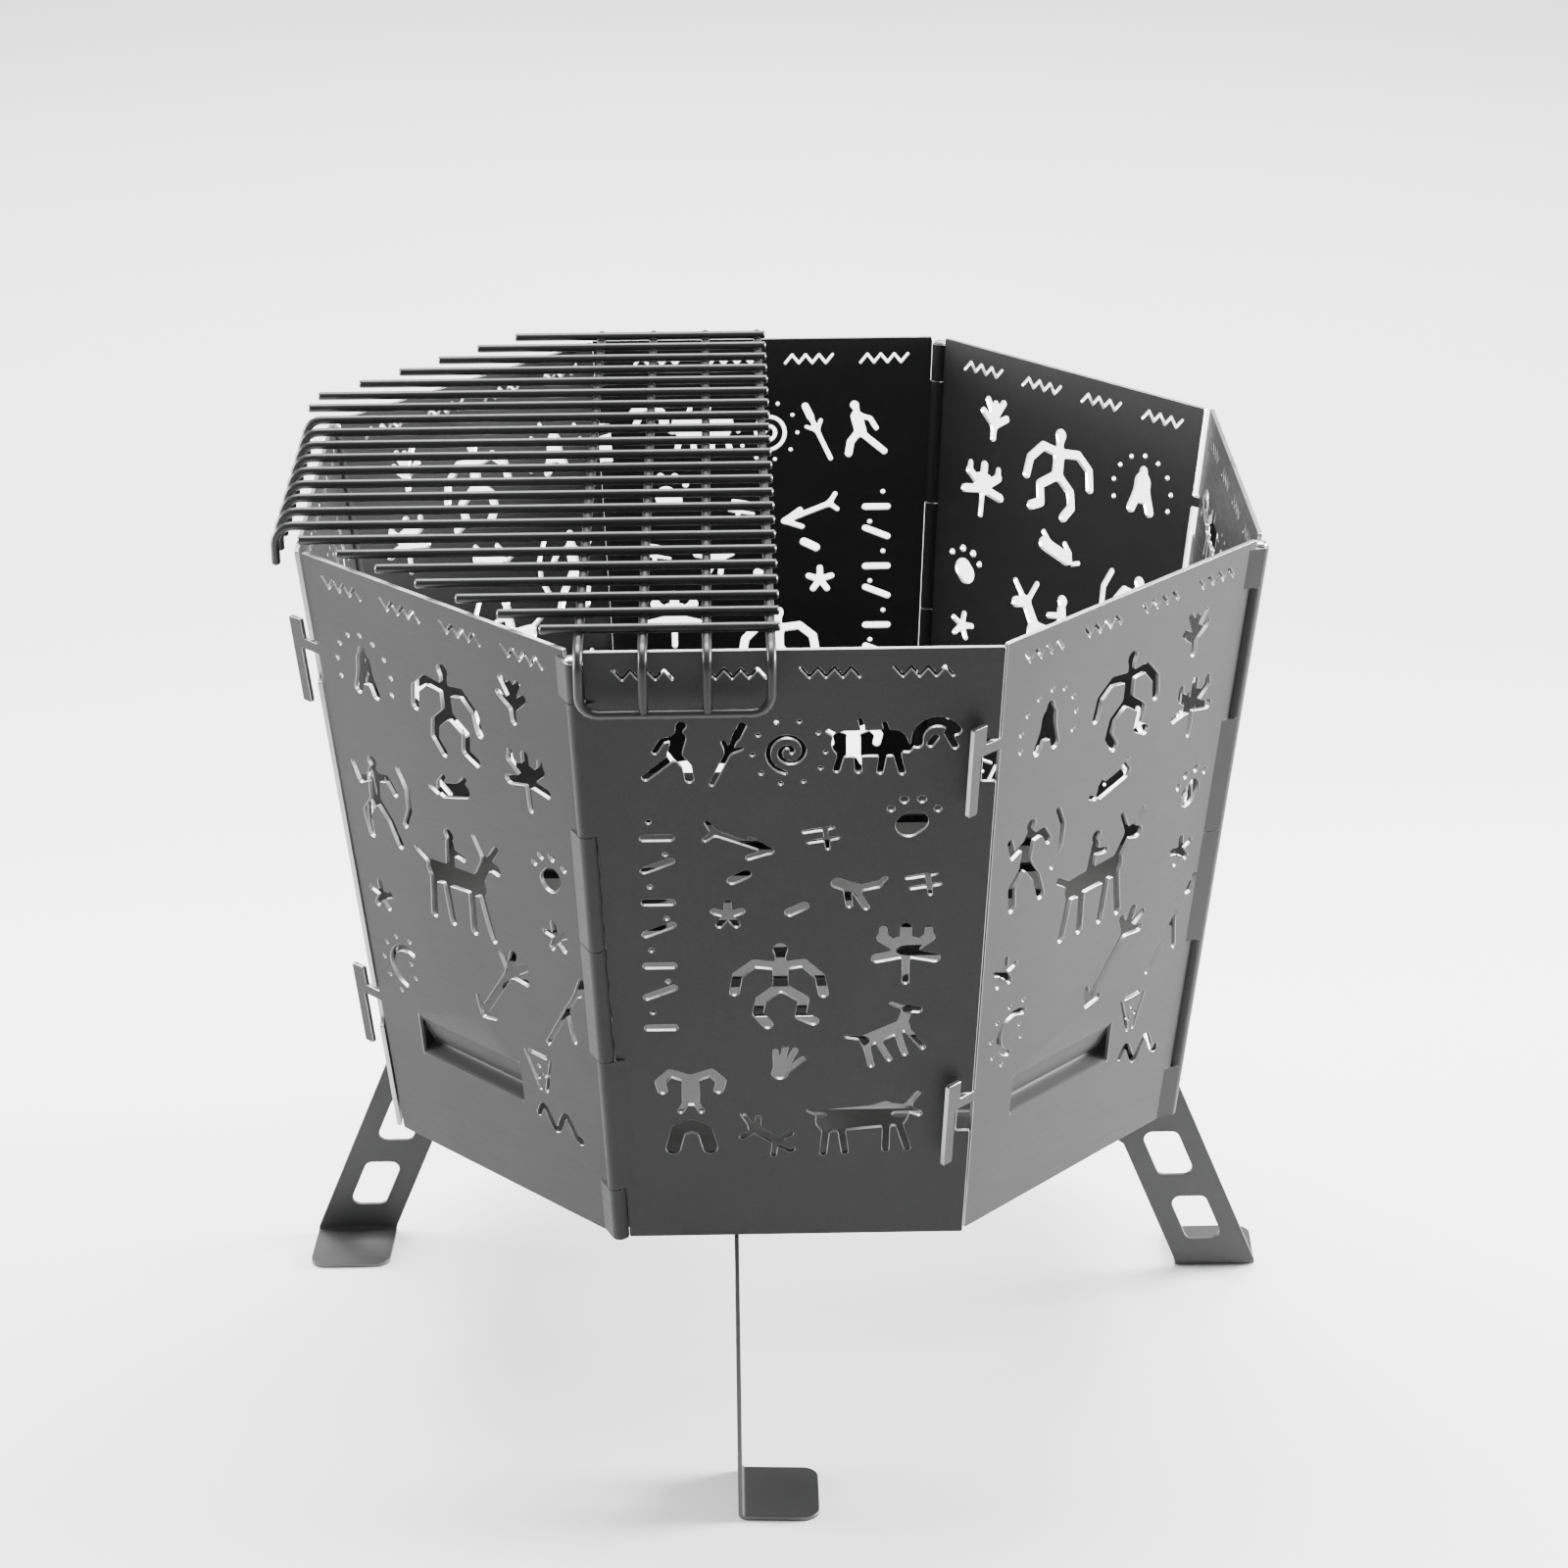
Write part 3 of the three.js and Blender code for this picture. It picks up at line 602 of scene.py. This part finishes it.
def steel_material(name, base, metallic, roughness, grain=1.0, tint=0.0, gloss=0.5):
    """Rolled steel sheet or wire: a fine grain, faint clouds in the tone, and small scuffs."""
    nodes = Nodes(name)
    clouds = nodes.noise(9.0, 4.0)
    speckle = nodes.noise(2600.0, 2.0, 0.7)
    rolled = nodes.noise(60.0, 5.0, 0.7, stretch=(1, 1, 9))
    scuffs = nodes.noise(38.0, 8.0, 0.8, stretch=(3, 3, 1))
    tone = nodes.ramp(clouds, [(0.3, grey(base * 0.86, tint)), (0.55, grey(base, tint)),
                               (0.75, grey(base * 1.12, tint * 0.5))])
    tone = nodes.mix(nodes.span(speckle, 0.0, 0.35 * grain), tone, grey(base * 1.9, tint))
    tone = nodes.mix(nodes.span(scuffs, 0.0, 0.22, 0.62, 0.78), tone, grey(base * 2.2, tint))
    nodes.link(tone, nodes.shader.inputs["Base Color"])
    rough = nodes.span(rolled, roughness - 0.06, roughness + 0.08)
    nodes.link(rough, nodes.shader.inputs["Roughness"])
    nodes.set("Metallic", metallic)
    nodes.set("Specular IOR Level", gloss)
    fine = nodes.bump(speckle, 0.00006 * grain, 0.7)
    nodes.link(nodes.bump(rolled, 0.00012, 0.35, below=fine), nodes.shader.inputs["Normal"])
    return nodes.material


PANEL_STEEL = steel_material("satin_panel_steel", 0.026, 0.1, 0.44, gloss=0.06)
PANEL_EDGE = steel_material("cut_panel_edge", 0.32, 0.9, 0.32, grain=0.5)
LEG_STEEL = steel_material("dark_leg_steel", 0.03, 0.2, 0.45, gloss=0.3)
LEG_EDGE = steel_material("cut_leg_edge", 0.08, 0.7, 0.4, grain=0.5)
PLATE_STEEL = steel_material("inner_plate_steel", 0.012, 0.25, 0.55, grain=1.3, tint=0.05)
PLATE_EDGE = steel_material("cut_plate_edge", 0.12, 0.7, 0.42, grain=0.6)
WIRE_STEEL = steel_material("coated_wire", 0.022, 0.35, 0.34, grain=0.15)
PIN_STEEL = steel_material("drawn_pin_steel", 0.42, 0.95, 0.28, grain=0.4)


# ------------------------------------------------------------------ panels
def hinged_edge(own):
    corners = [(half_width(0) - EDGE_INSET, 0)]
    for index in own:
        low = KNUCKLE_ENDS[index] + GAP
        high = KNUCKLE_ENDS[index + 1] - GAP
        corners.append((half_width(low) - EDGE_INSET, low))
        corners.append((half_width(low) - KNUCKLE_INSET, low))
        corners.append((half_width(high) - KNUCKLE_INSET, high))
        corners.append((half_width(high) - EDGE_INSET, high))
    corners.append((half_width(SLANT) - EDGE_INSET, SLANT))
    return corners


def notched_edge():
    corners = [(half_width(0) + RIM_OVERLAP, 0)]
    for foot in HOOK_FEET:
        low = foot + HOOK_PRONG - NOTCH_DROP
        high = foot + HOOK_PRONG + HOOK_NECK + NOTCH_HEADROOM
        corners.append((half_width(low) + RIM_OVERLAP, low))
        corners.append((half_width(low) - NOTCH_DEPTH, low))
        corners.append((half_width(high) - NOTCH_DEPTH, high))
        corners.append((half_width(high) + RIM_OVERLAP, high))
    corners.append((half_width(SLANT) + RIM_OVERLAP, SLANT))
    return corners


def hooked_edge():
    corners = [(half_width(0) - DOOR_SETBACK, 0)]
    for foot in HOOK_FEET:
        neck = foot + HOOK_PRONG
        shoulder = neck + HOOK_NECK
        top = neck + HOOK_HEAD
        corners.append((half_width(neck) - DOOR_SETBACK, neck))
        corners.append((half_width(neck) + HOOK_SLOT, neck))
        corners.append((half_width(foot) + HOOK_SLOT, foot))
        corners.append((half_width(foot) + HOOK_REACH, foot))
        corners.append((half_width(top) + HOOK_REACH, top))
        corners.append((half_width(top) + HEAD_SLOT, top))
        corners.append((half_width(shoulder) + HEAD_SLOT, shoulder))
        corners.append((half_width(shoulder) - DOOR_SETBACK, shoulder))
    corners.append((half_width(SLANT) - DOOR_SETBACK, SLANT))
    return corners


CORNER_ROUNDING = 0.9
LEDGE_FROM, LEDGE_TO = -46, 20
LEDGE_LOW, LEDGE_APEX, LEDGE_HIGH = 50.5, 54.5, 70.5
LEDGE_DEPTH = 6.6
LEDGE_SHARPNESS = 1.4   # how late the ledge's lower side rises
LEDGE_SAG = 0.06        # how much its upper side curves
LEDGE_SLICES = 9        # cuts on each side, so that the sheet can bend
RISE_STEP = (LEDGE_APEX - LEDGE_LOW) / (LEDGE_SLICES - 1)
FALL_STEP = (LEDGE_HIGH - LEDGE_APEX) / (LEDGE_SLICES - 1)
SLIT = 0.8
SLIT_OVERRUN = 0.5      # how far the slits run past the ledge


def ledge_depth(v):
    """How far the pressed ledge stands inwards at a height along the slant."""
    if v <= LEDGE_LOW or v >= LEDGE_HIGH:
        return 0.0
    if v < LEDGE_APEX:
        climb = math.sin(math.pi / 2 * (v - LEDGE_LOW) / (LEDGE_APEX - LEDGE_LOW))
        return LEDGE_DEPTH * climb ** LEDGE_SHARPNESS
    part = (LEDGE_HIGH - v) / (LEDGE_HIGH - LEDGE_APEX)
    return LEDGE_DEPTH * (part + LEDGE_SAG * math.sin(2 * math.pi * part))


def press_ledge(bm):
    rises = [LEDGE_LOW + RISE_STEP * i for i in range(LEDGE_SLICES)]
    falls = [LEDGE_APEX + FALL_STEP * i for i in range(LEDGE_SLICES)]
    slice_lines(bm, (0, 1, 0), sorted(set(rises + falls)))
    for vert in bm.verts:
        if LEDGE_FROM - SLIT / 2 < vert.co.x < LEDGE_TO + SLIT / 2:
            vert.co.z -= ledge_depth(vert.co.y)


SEAM_START, SEAM_END = 150, 508   # degrees round the pin that the rolled sheet covers
ROLL_STEPS = 28
WRAP_ROOT = 0.8                   # start of the lead-in, as a share of the knuckle's radius
WRAP_SINK = 0.02                  # how far the lead-in lies inside the roll
WRAP_SHARES = (0.4, 0.7, 1)       # its points on the roll, as shares of the way to where it leaves


def add_knuckles(bm, side, own):
    """Rolled sheet round the hinge pin, with the open seam on the inner side."""
    across = Vector((1, 0, -side * FLARE_SLOPE)).normalized() * side
    inward = Vector((0, 1, 0))
    seam_start, seam_end = math.radians(SEAM_START), math.radians(SEAM_END)
    outer = []
    inner = []
    for step in range(ROLL_STEPS + 1):
        angle = seam_start + (seam_end - seam_start) * step / ROLL_STEPS
        spoke = Vector((math.cos(angle), math.sin(angle)))
        outer.append(spoke * KNUCKLE_RADIUS)
        inner.append(spoke * BORE_RADIUS)
    section = outer + inner[::-1]
    touch = math.acos(KNUCKLE_RADIUS / math.hypot(WRAP_REACH, SHEET / 2))
    touch += math.atan2(SHEET / 2, WRAP_REACH)
    wrap = [Vector((-WRAP_REACH, -SHEET / 2)), Vector((-KNUCKLE_RADIUS * WRAP_ROOT, 0))]
    for share in WRAP_SHARES:
        spoke = Vector((-math.cos(touch * share), -math.sin(touch * share)))
        wrap.append(spoke * (KNUCKLE_RADIUS - WRAP_SINK))
    for index in own:
        low = KNUCKLE_ENDS[index] + GAP
        high = KNUCKLE_ENDS[index + 1] - GAP
        start = Vector((side * (half_width(low) - AXIS_INSET), SHEET / 2, low))
        end = Vector((side * (half_width(high) - AXIS_INSET), SHEET / 2, high))
        add_prism(bm, section, start, end, across, inward)
        add_prism(bm, wrap, start, end, across, inward)


STAND_UP = Matrix.Translation((0, SHEET / 2, 0)) @ Matrix.Rotation(math.pi / 2, 4, "X")


def panel_place(index):
    turn = Matrix.Rotation(index * 2 * HALF_STEP, 4, "Z")
    return turn @ Matrix.Translation((0, -BOTTOM_APOTHEM, STAND_HEIGHT)) @ Matrix.Rotation(LEAN, 4, "X")


def panel_holes(figures):
    zigzags = [(ZIGZAG, place, ZIGZAG_HEIGHT) for place in ZIGZAG_PLACES]
    return figure_holes(figures + zigzags)


def make_panel(index, holes):
    is_door = index % 2 == 1
    name = "panel_" + PLACES[index]
    bm = bmesh.new()
    if is_door:
        right, left = hinged_edge(DOOR_KNUCKLES), hooked_edge()
        low, high = LEDGE_LOW - SLIT_OVERRUN, LEDGE_HIGH + SLIT_OVERRUN
        slits = [[(x, low), (x + SLIT, low), (x + SLIT, high), (x, high)]
                 for x in (LEDGE_FROM - SLIT, LEDGE_TO)]
    else:
        right, left = notched_edge(), hinged_edge(WALL_KNUCKLES)
        slits = []
    outline = fillet(right + [(-u, v) for u, v in reversed(left)], CORNER_ROUNDING)
    slits = [[Vector(p) for p in slit] for slit in slits]
    add_sheet(bm, outline, holes + slits, SHEET)
    if is_door:
        press_ledge(bm)
    bmesh.ops.transform(bm, matrix=STAND_UP, verts=bm.verts)
    add_knuckles(bm, 1 if is_door else -1, DOOR_KNUCKLES if is_door else WALL_KNUCKLES)
    piece = finish_mesh(bm, name + "_sheet", panel_place(index), [PANEL_STEEL, PANEL_EDGE])
    stand_for(piece, name, f"door_{PLACES[index]}" if is_door else "stand")


# For each pin: the heights of its ends along the slant, and whether it has a head.
PIN_SPANS = {"lower": (1, 149.2, False), "upper": (151, 288, True)}
PIN_CHAMFER = 0.4
PIN_TIP = PIN_RADIUS * 0.7
PIN_HEAD = [(0, 2.9), (0.5, 3.0), (1.1, 2.6), (1.5, 1.6)]   # distance past the shaft, radius


def make_pins(index):
    along = Vector((FLARE_SLOPE, 0, 1)).normalized()
    for which, (low, high, headed) in PIN_SPANS.items():
        start = Vector((half_width(low) - AXIS_INSET, SHEET / 2, low))
        length = (high - low) / along.z
        profile = [(0, PIN_TIP), (PIN_CHAMFER, PIN_RADIUS)]
        if headed:
            profile.append((length, PIN_RADIUS))
            profile += [(length + past, radius) for past, radius in PIN_HEAD]
        else:
            profile += [(length - PIN_CHAMFER, PIN_RADIUS), (length, PIN_TIP)]
        bm = bmesh.new()
        add_lathe(bm, profile, start, along)
        node = f"hinge_pin_{PLACES[index]}_{which}"
        piece = finish_mesh(bm, node + "_turned", panel_place(index), [PIN_STEEL])
        stand_for(piece, node, "stand")


corner_holes = panel_holes(CORNER_FIGURES)
wall_holes = panel_holes(WALL_FIGURES)
for panel_index in range(8):
    make_panel(panel_index, corner_holes if panel_index % 2 else wall_holes)
    if panel_index % 2:
        make_pins(panel_index)

# ------------------------------------------------------------------ legs
LEG_OFFSET = 23
LEG_RAKE = 0.413
FOOT_OUTER = 233
FOOT_WIDTH = 39
FOOT_TAB = 35
ARM_TOP = STAND_HEIGHT - GAP
ARM_DEPTH = 29
TENON_LOW, TENON_HIGH, TENON_REACH = 94, 106, 7
SLOT_CLEARANCE = 0.4
WINDOWS = [(16, 40), (52, 76)]
WINDOW_MARGIN = 10.5
BEND_RADIUS = 2.5
BEND_START = SHEET / 2 + BEND_RADIUS
BEND_LENGTH = BEND_RADIUS * math.pi / 2
BEND_STEPS = 8
TOE_ROUNDING = 7
BLADE_ROUNDING = 1.2
WINDOW_ROUNDING = 4
SHOULDER_Z = 101     # where the outer edge turns in towards the panels
ARM_OVERHANG = 1     # how far the arm reaches past the panels' bottom edge
GUSSET = 16          # size of the slope between the arm and the blade


def leg_outline():
    """The flat blade with its foot unfolded, as (distance from the middle, height)."""
    def outer(z):
        return FOOT_OUTER - LEG_RAKE * z

    arm_end = -(LEG_OFFSET - SHEET / 2 - GAP)
    arm_low = ARM_TOP - ARM_DEPTH
    inner_low = outer(arm_low) - FOOT_WIDTH
    tab_end = BEND_START - BEND_LENGTH - (FOOT_TAB - BEND_RADIUS)
    tab = fillet([(FOOT_OUTER - FOOT_WIDTH, BEND_START), (FOOT_OUTER - FOOT_WIDTH, tab_end),
                  (FOOT_OUTER, tab_end), (FOOT_OUTER, BEND_START)], TOE_ROUNDING, closed=False)
    gusset_low = arm_low - GUSSET
    rest = [(outer(BEND_START), BEND_START), (outer(SHOULDER_Z), SHOULDER_Z),
            (BOTTOM_APOTHEM + ARM_OVERHANG, ARM_TOP),
            (arm_end, ARM_TOP), (arm_end, TENON_HIGH), (arm_end - TENON_REACH, TENON_HIGH),
            (arm_end - TENON_REACH, TENON_LOW), (arm_end, TENON_LOW), (arm_end, arm_low),
            (inner_low - GUSSET, arm_low), (outer(gusset_low) - FOOT_WIDTH, gusset_low),
            (outer(BEND_START) - FOOT_WIDTH, BEND_START)]
    blade = fillet(rest, BLADE_ROUNDING, closed=False)
    return tab[1:-1] + [Vector(p) for p in blade]


def leg_windows():
    windows = []
    for low, high in WINDOWS:
        def left(z):
            return FOOT_OUTER - FOOT_WIDTH - LEG_RAKE * z + WINDOW_MARGIN
        width = FOOT_WIDTH - 2 * WINDOW_MARGIN
        windows.append(fillet([(left(low), low), (left(low) + width, low), (left(high) + width, high),
                               (left(high), high)], WINDOW_ROUNDING))
    slot_half = SHEET / 2 + SLOT_CLEARANCE
    low, high = TENON_LOW - SLOT_CLEARANCE, TENON_HIGH + SLOT_CLEARANCE
    windows.append([Vector(p) for p in ((LEG_OFFSET - slot_half, low), (LEG_OFFSET + slot_half, low),
                                        (LEG_OFFSET + slot_half, high), (LEG_OFFSET - slot_half, high))])
    return windows


def fold_foot(bm):
    """Stands the blade up across x and folds the foot along its bend."""
    cuts = [BEND_START - BEND_LENGTH * i / BEND_STEPS for i in range(BEND_STEPS + 1)]
    slice_lines(bm, (0, 1, 0), cuts)
    for vert in bm.verts:
        reach, height, side = vert.co
        past = BEND_START - height
        if past <= 0:
            x, z = side, height
        elif past < BEND_LENGTH:
            angle = past / BEND_RADIUS
            x = BEND_RADIUS - (BEND_RADIUS - side) * math.cos(angle)
            z = BEND_START - (BEND_RADIUS - side) * math.sin(angle)
        else:
            x = BEND_RADIUS + past - BEND_LENGTH
            z = SHEET / 2 + side
        vert.co = (x - LEG_OFFSET, -reach, z)


def make_legs():
    for index, place in enumerate(PLACES[::2]):
        bm = bmesh.new()
        add_sheet(bm, leg_outline(), leg_windows(), SHEET)
        fold_foot(bm)
        turn = Matrix.Rotation(index * math.pi / 2, 4, "Z")
        piece = finish_mesh(bm, f"leg_{place}_blade", turn, [LEG_STEEL, LEG_EDGE])
        stand_for(piece, f"leg_{place}", "stand")


make_legs()

# ------------------------------------------------------------------ inside plates
ASH_APOTHEM = 174
ASH_RIM = 10
ASH_BEND = 3            # outer radius of the bend up to the rim
ASH_LIP = 0.2           # chamfer along the top of the rim
ASH_FLOOR_INSET = 12    # how far in from the rim the flat floor ends
ASH_RING_INSET = 13     # where the bent ring begins, overlapping the floor
ASH_CORNER = 4
OUTER_BEND_STEPS = 6
INNER_BEND_STEPS = 4
FUEL_APOTHEM = 181
FUEL_CORNER = 5
FUEL_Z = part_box("fuel_grate")[0].z / MM


def slot_rows(columns, rows, pitch_x, pitch_y, length, width):
    slots = []
    for i in range(columns):
        x = (i - (columns - 1) / 2) * pitch_x
        for j in range(rows):
            y = (j - (rows - 1) / 2) * pitch_y
            slots.append(stadium(x, y, length, width))
    return slots


def ash_arc(radius, angle):
    """A point of the ash plate's bend: (apothem, height)."""
    return (ASH_APOTHEM - ASH_BEND + radius * math.cos(angle),
            STAND_HEIGHT + ASH_BEND + radius * math.sin(angle))


def make_ash_plate():
    bm = bmesh.new()
    middle = STAND_HEIGHT + THIN_SHEET / 2
    slots = slot_rows(columns=3, rows=4, pitch_x=70, pitch_y=50, length=40, width=6)
    add_sheet(bm, octagon(ASH_APOTHEM - ASH_FLOOR_INSET), slots, THIN_SHEET)
    bmesh.ops.translate(bm, vec=(0, 0, middle), verts=bm.verts)
    inner = ASH_APOTHEM - THIN_SHEET
    top = STAND_HEIGHT + ASH_RIM
    profile = [(ASH_APOTHEM - ASH_RING_INSET, STAND_HEIGHT)]
    for step in range(OUTER_BEND_STEPS + 1):
        profile.append(ash_arc(ASH_BEND, -math.pi / 2 * (1 - step / OUTER_BEND_STEPS)))
    profile += [(ASH_APOTHEM, top - ASH_LIP), (ASH_APOTHEM - ASH_LIP, top),
                (inner + ASH_LIP, top), (inner, top - ASH_LIP)]
    for step in range(INNER_BEND_STEPS + 1):
        profile.append(ash_arc(ASH_BEND - THIN_SHEET, -math.pi / 2 * step / INNER_BEND_STEPS))
    profile.append((ASH_APOTHEM - ASH_RING_INSET, STAND_HEIGHT + THIN_SHEET))
    rings = []
    for apothem, z in profile:
        outline = fillet([(p.x, p.y, z) for p in octagon(apothem)], ASH_CORNER, steps=3)
        rings.append([bm.verts.new(p) for p in outline])
    for low, high in zip(rings, rings[1:] + rings[:1]):
        for k in range(len(low)):
            j = (k + 1) % len(low)
            bm.faces.new((low[k], low[j], high[j], high[k])).material_index = FACE
    piece = finish_mesh(bm, "ash_plate_tray", Matrix.Identity(4), [PLATE_STEEL, PLATE_EDGE])
    stand_for(piece, "ash_plate", "stand")


def make_fuel_grate():
    bm = bmesh.new()
    outline = fillet(octagon(FUEL_APOTHEM), FUEL_CORNER)
    slots = slot_rows(columns=3, rows=9, pitch_x=92, pitch_y=30, length=76, width=11)
    add_sheet(bm, outline, slots, THIN_SHEET)
    place = Matrix.Translation((0, 0, FUEL_Z + THIN_SHEET / 2))
    piece = finish_mesh(bm, "fuel_grate_sheet", place, [PLATE_STEEL, PLATE_EDGE])
    stand_for(piece, "fuel_grate", "fuel_grate")


make_ash_plate()
make_fuel_grate()

# ------------------------------------------------------------------ cooking grate
WIRE_RADIUS = 2
ROD_PITCH = 18
ROD_COUNT = 23
BAR_Z = RIM_Z + GAP + WIRE_RADIUS
WELD_SINK = 0.67     # how far the rods sink into the bars where they are welded
ROD_Z = BAR_Z + 2 * WIRE_RADIUS - WELD_SINK
BEND = 8
BAR_OUTER_X = [-6, -84]
BAR_INNER_X = [-32, -58]
HANG_Y = TOP_APOTHEM + 8
HANG_Z = RIM_Z - 24
ROD_END_X = -2
SIDE_HANG_X = -220
SIDE_HANG_Z = RIM_Z - 12
BENT_ROD_LIMIT = 80
BACK_OVERHANG = 28
FRONT_SETBACK = 1    # how far the front rods stop short of the rim
JOIN_Y = 100         # where an outer bar's hooked end meets its straight middle
WELD_SIZE = (2.5, 2.5, 1.5)


def rod_corners(y):
    start = (ROD_END_X, y, ROD_Z)
    if abs(y) < BENT_ROD_LIMIT:
        return [start, (SIDE_HANG_X, y, ROD_Z), (SIDE_HANG_X, y, SIDE_HANG_Z)]
    rim_x = -(TOP_APOTHEM * math.sqrt(2) - abs(y))
    end = max(rim_x - BACK_OVERHANG, SIDE_HANG_X) if y > 0 else rim_x - FRONT_SETBACK
    return [start, (end, y, ROD_Z)]


def add_weld(bm, middle):
    """A small bead of metal where two wires cross."""
    place = Matrix.Translation(middle) @ Matrix.Diagonal((*WELD_SIZE, 1))
    bmesh.ops.create_icosphere(bm, subdivisions=2, radius=1, matrix=place)


def make_cooking_grate():
    bm = bmesh.new()
    left, right = BAR_OUTER_X[1], BAR_OUTER_X[0]
    middle = (left + right) / 2
    for end in (-1, 1):
        hook = [(left, end * JOIN_Y, BAR_Z), (left, end * HANG_Y, BAR_Z),
                (left, end * HANG_Y, HANG_Z), (middle, end * HANG_Y, HANG_Z)]
        mirrored = [(left + right - x, y, z) for x, y, z in hook]
        near_half = fillet(hook, BEND, closed=False)[:-1]
        far_half = fillet(mirrored, BEND, closed=False)[::-1][1:]
        add_tube(bm, near_half + far_half, WIRE_RADIUS)
    for x in BAR_OUTER_X:
        add_tube(bm, [(x, -JOIN_Y, BAR_Z), (x, JOIN_Y, BAR_Z)], WIRE_RADIUS)
    for x in BAR_INNER_X:
        corners = [(x, -HANG_Y, HANG_Z), (x, -HANG_Y, BAR_Z),
                   (x, HANG_Y, BAR_Z), (x, HANG_Y, HANG_Z)]
        add_tube(bm, fillet(corners, BEND, closed=False), WIRE_RADIUS)
    for i in range(ROD_COUNT):
        y = (i - (ROD_COUNT - 1) / 2) * ROD_PITCH
        add_tube(bm, fillet(rod_corners(y), BEND, closed=False), WIRE_RADIUS)
        for x in BAR_OUTER_X + BAR_INNER_X:
            add_weld(bm, Vector((x, y, BAR_Z + WIRE_RADIUS)))
    piece = finish_mesh(bm, "cooking_grate_wires", Matrix.Identity(4), [WIRE_STEEL])
    stand_for(piece, "cooking_grate", "cooking_grate")


make_cooking_grate()

# ------------------------------------------------------------------ floor, light and camera
# Lengths here are in metres.
FLOOR_SIZE = 14
WORLD_TINT = (0.95, 0.97, 1.0)
WORLD_STRENGTH = 0.5
CAMERA_PLACE = Vector((-0.0259, -1.638, 0.982))
CAMERA_YAW = math.radians(0.990)
CAMERA_PITCH = math.radians(24.007)
CAMERA_ROLL = math.radians(-0.409)
CAMERA_SENSOR = 36     # millimetres
CAMERA_LENS = 87.6     # millimetres


def make_floor():
    bpy.ops.mesh.primitive_plane_add(size=FLOOR_SIZE)
    floor = bpy.context.object
    floor.name = "studio_floor"
    nodes = Nodes("pale_floor")
    tone = nodes.ramp(nodes.noise(2.0, 2.0), [(0.3, grey(0.88)), (0.7, grey(0.91))])
    nodes.link(tone, nodes.shader.inputs["Base Color"])
    nodes.set("Roughness", 0.9)
    floor.data.materials.append(nodes.material)


def make_softbox(name, place, aim, width, height, power, spread=180):
    light = bpy.data.lights.new(name, "AREA")
    light.shape = "RECTANGLE"
    light.size = width
    light.size_y = height
    light.energy = power
    light.spread = math.radians(spread)
    lamp = bpy.data.objects.new(name, light)
    lamp.location = place
    lamp.rotation_euler = (Vector(aim) - Vector(place)).to_track_quat("-Z", "Y").to_euler()
    bpy.context.scene.collection.objects.link(lamp)


def make_world():
    world = bpy.data.worlds.new("studio")
    world.use_nodes = True
    background = world.node_tree.nodes["Background"]
    background.inputs["Color"].default_value = (*WORLD_TINT, 1)
    background.inputs["Strength"].default_value = WORLD_STRENGTH
    bpy.context.scene.world = world


make_floor()
make_world()
make_softbox("top_softbox", place=(0, 1.2, 2.8), aim=(0, 0.1, 0), width=2.6, height=2.2, power=450)
make_softbox("right_softbox", place=(1.5, 0.3, 0.5), aim=(0, 0, 0.3), width=0.9, height=0.8,
             power=36, spread=50)
make_softbox("left_softbox", place=(-1.5, 0.3, 0.5), aim=(0, 0, 0.3), width=0.9, height=0.8,
             power=14, spread=50)


def make_camera():
    forward = Vector((math.sin(CAMERA_YAW) * math.cos(CAMERA_PITCH),
                      math.cos(CAMERA_YAW) * math.cos(CAMERA_PITCH), -math.sin(CAMERA_PITCH)))
    level = Vector((math.cos(CAMERA_YAW), -math.sin(CAMERA_YAW), 0))
    above = level.cross(forward)
    right = level * math.cos(CAMERA_ROLL) + above * math.sin(CAMERA_ROLL)
    up = above * math.cos(CAMERA_ROLL) - level * math.sin(CAMERA_ROLL)
    data = bpy.data.cameras.new("camera")
    data.sensor_width = CAMERA_SENSOR
    data.lens = CAMERA_LENS
    camera = bpy.data.objects.new("camera", data)
    turn = Matrix((right, up, -forward)).transposed().to_4x4()
    camera.matrix_world = Matrix.Translation(CAMERA_PLACE) @ turn
    bpy.context.scene.collection.objects.link(camera)
    bpy.context.scene.camera = camera


make_camera()
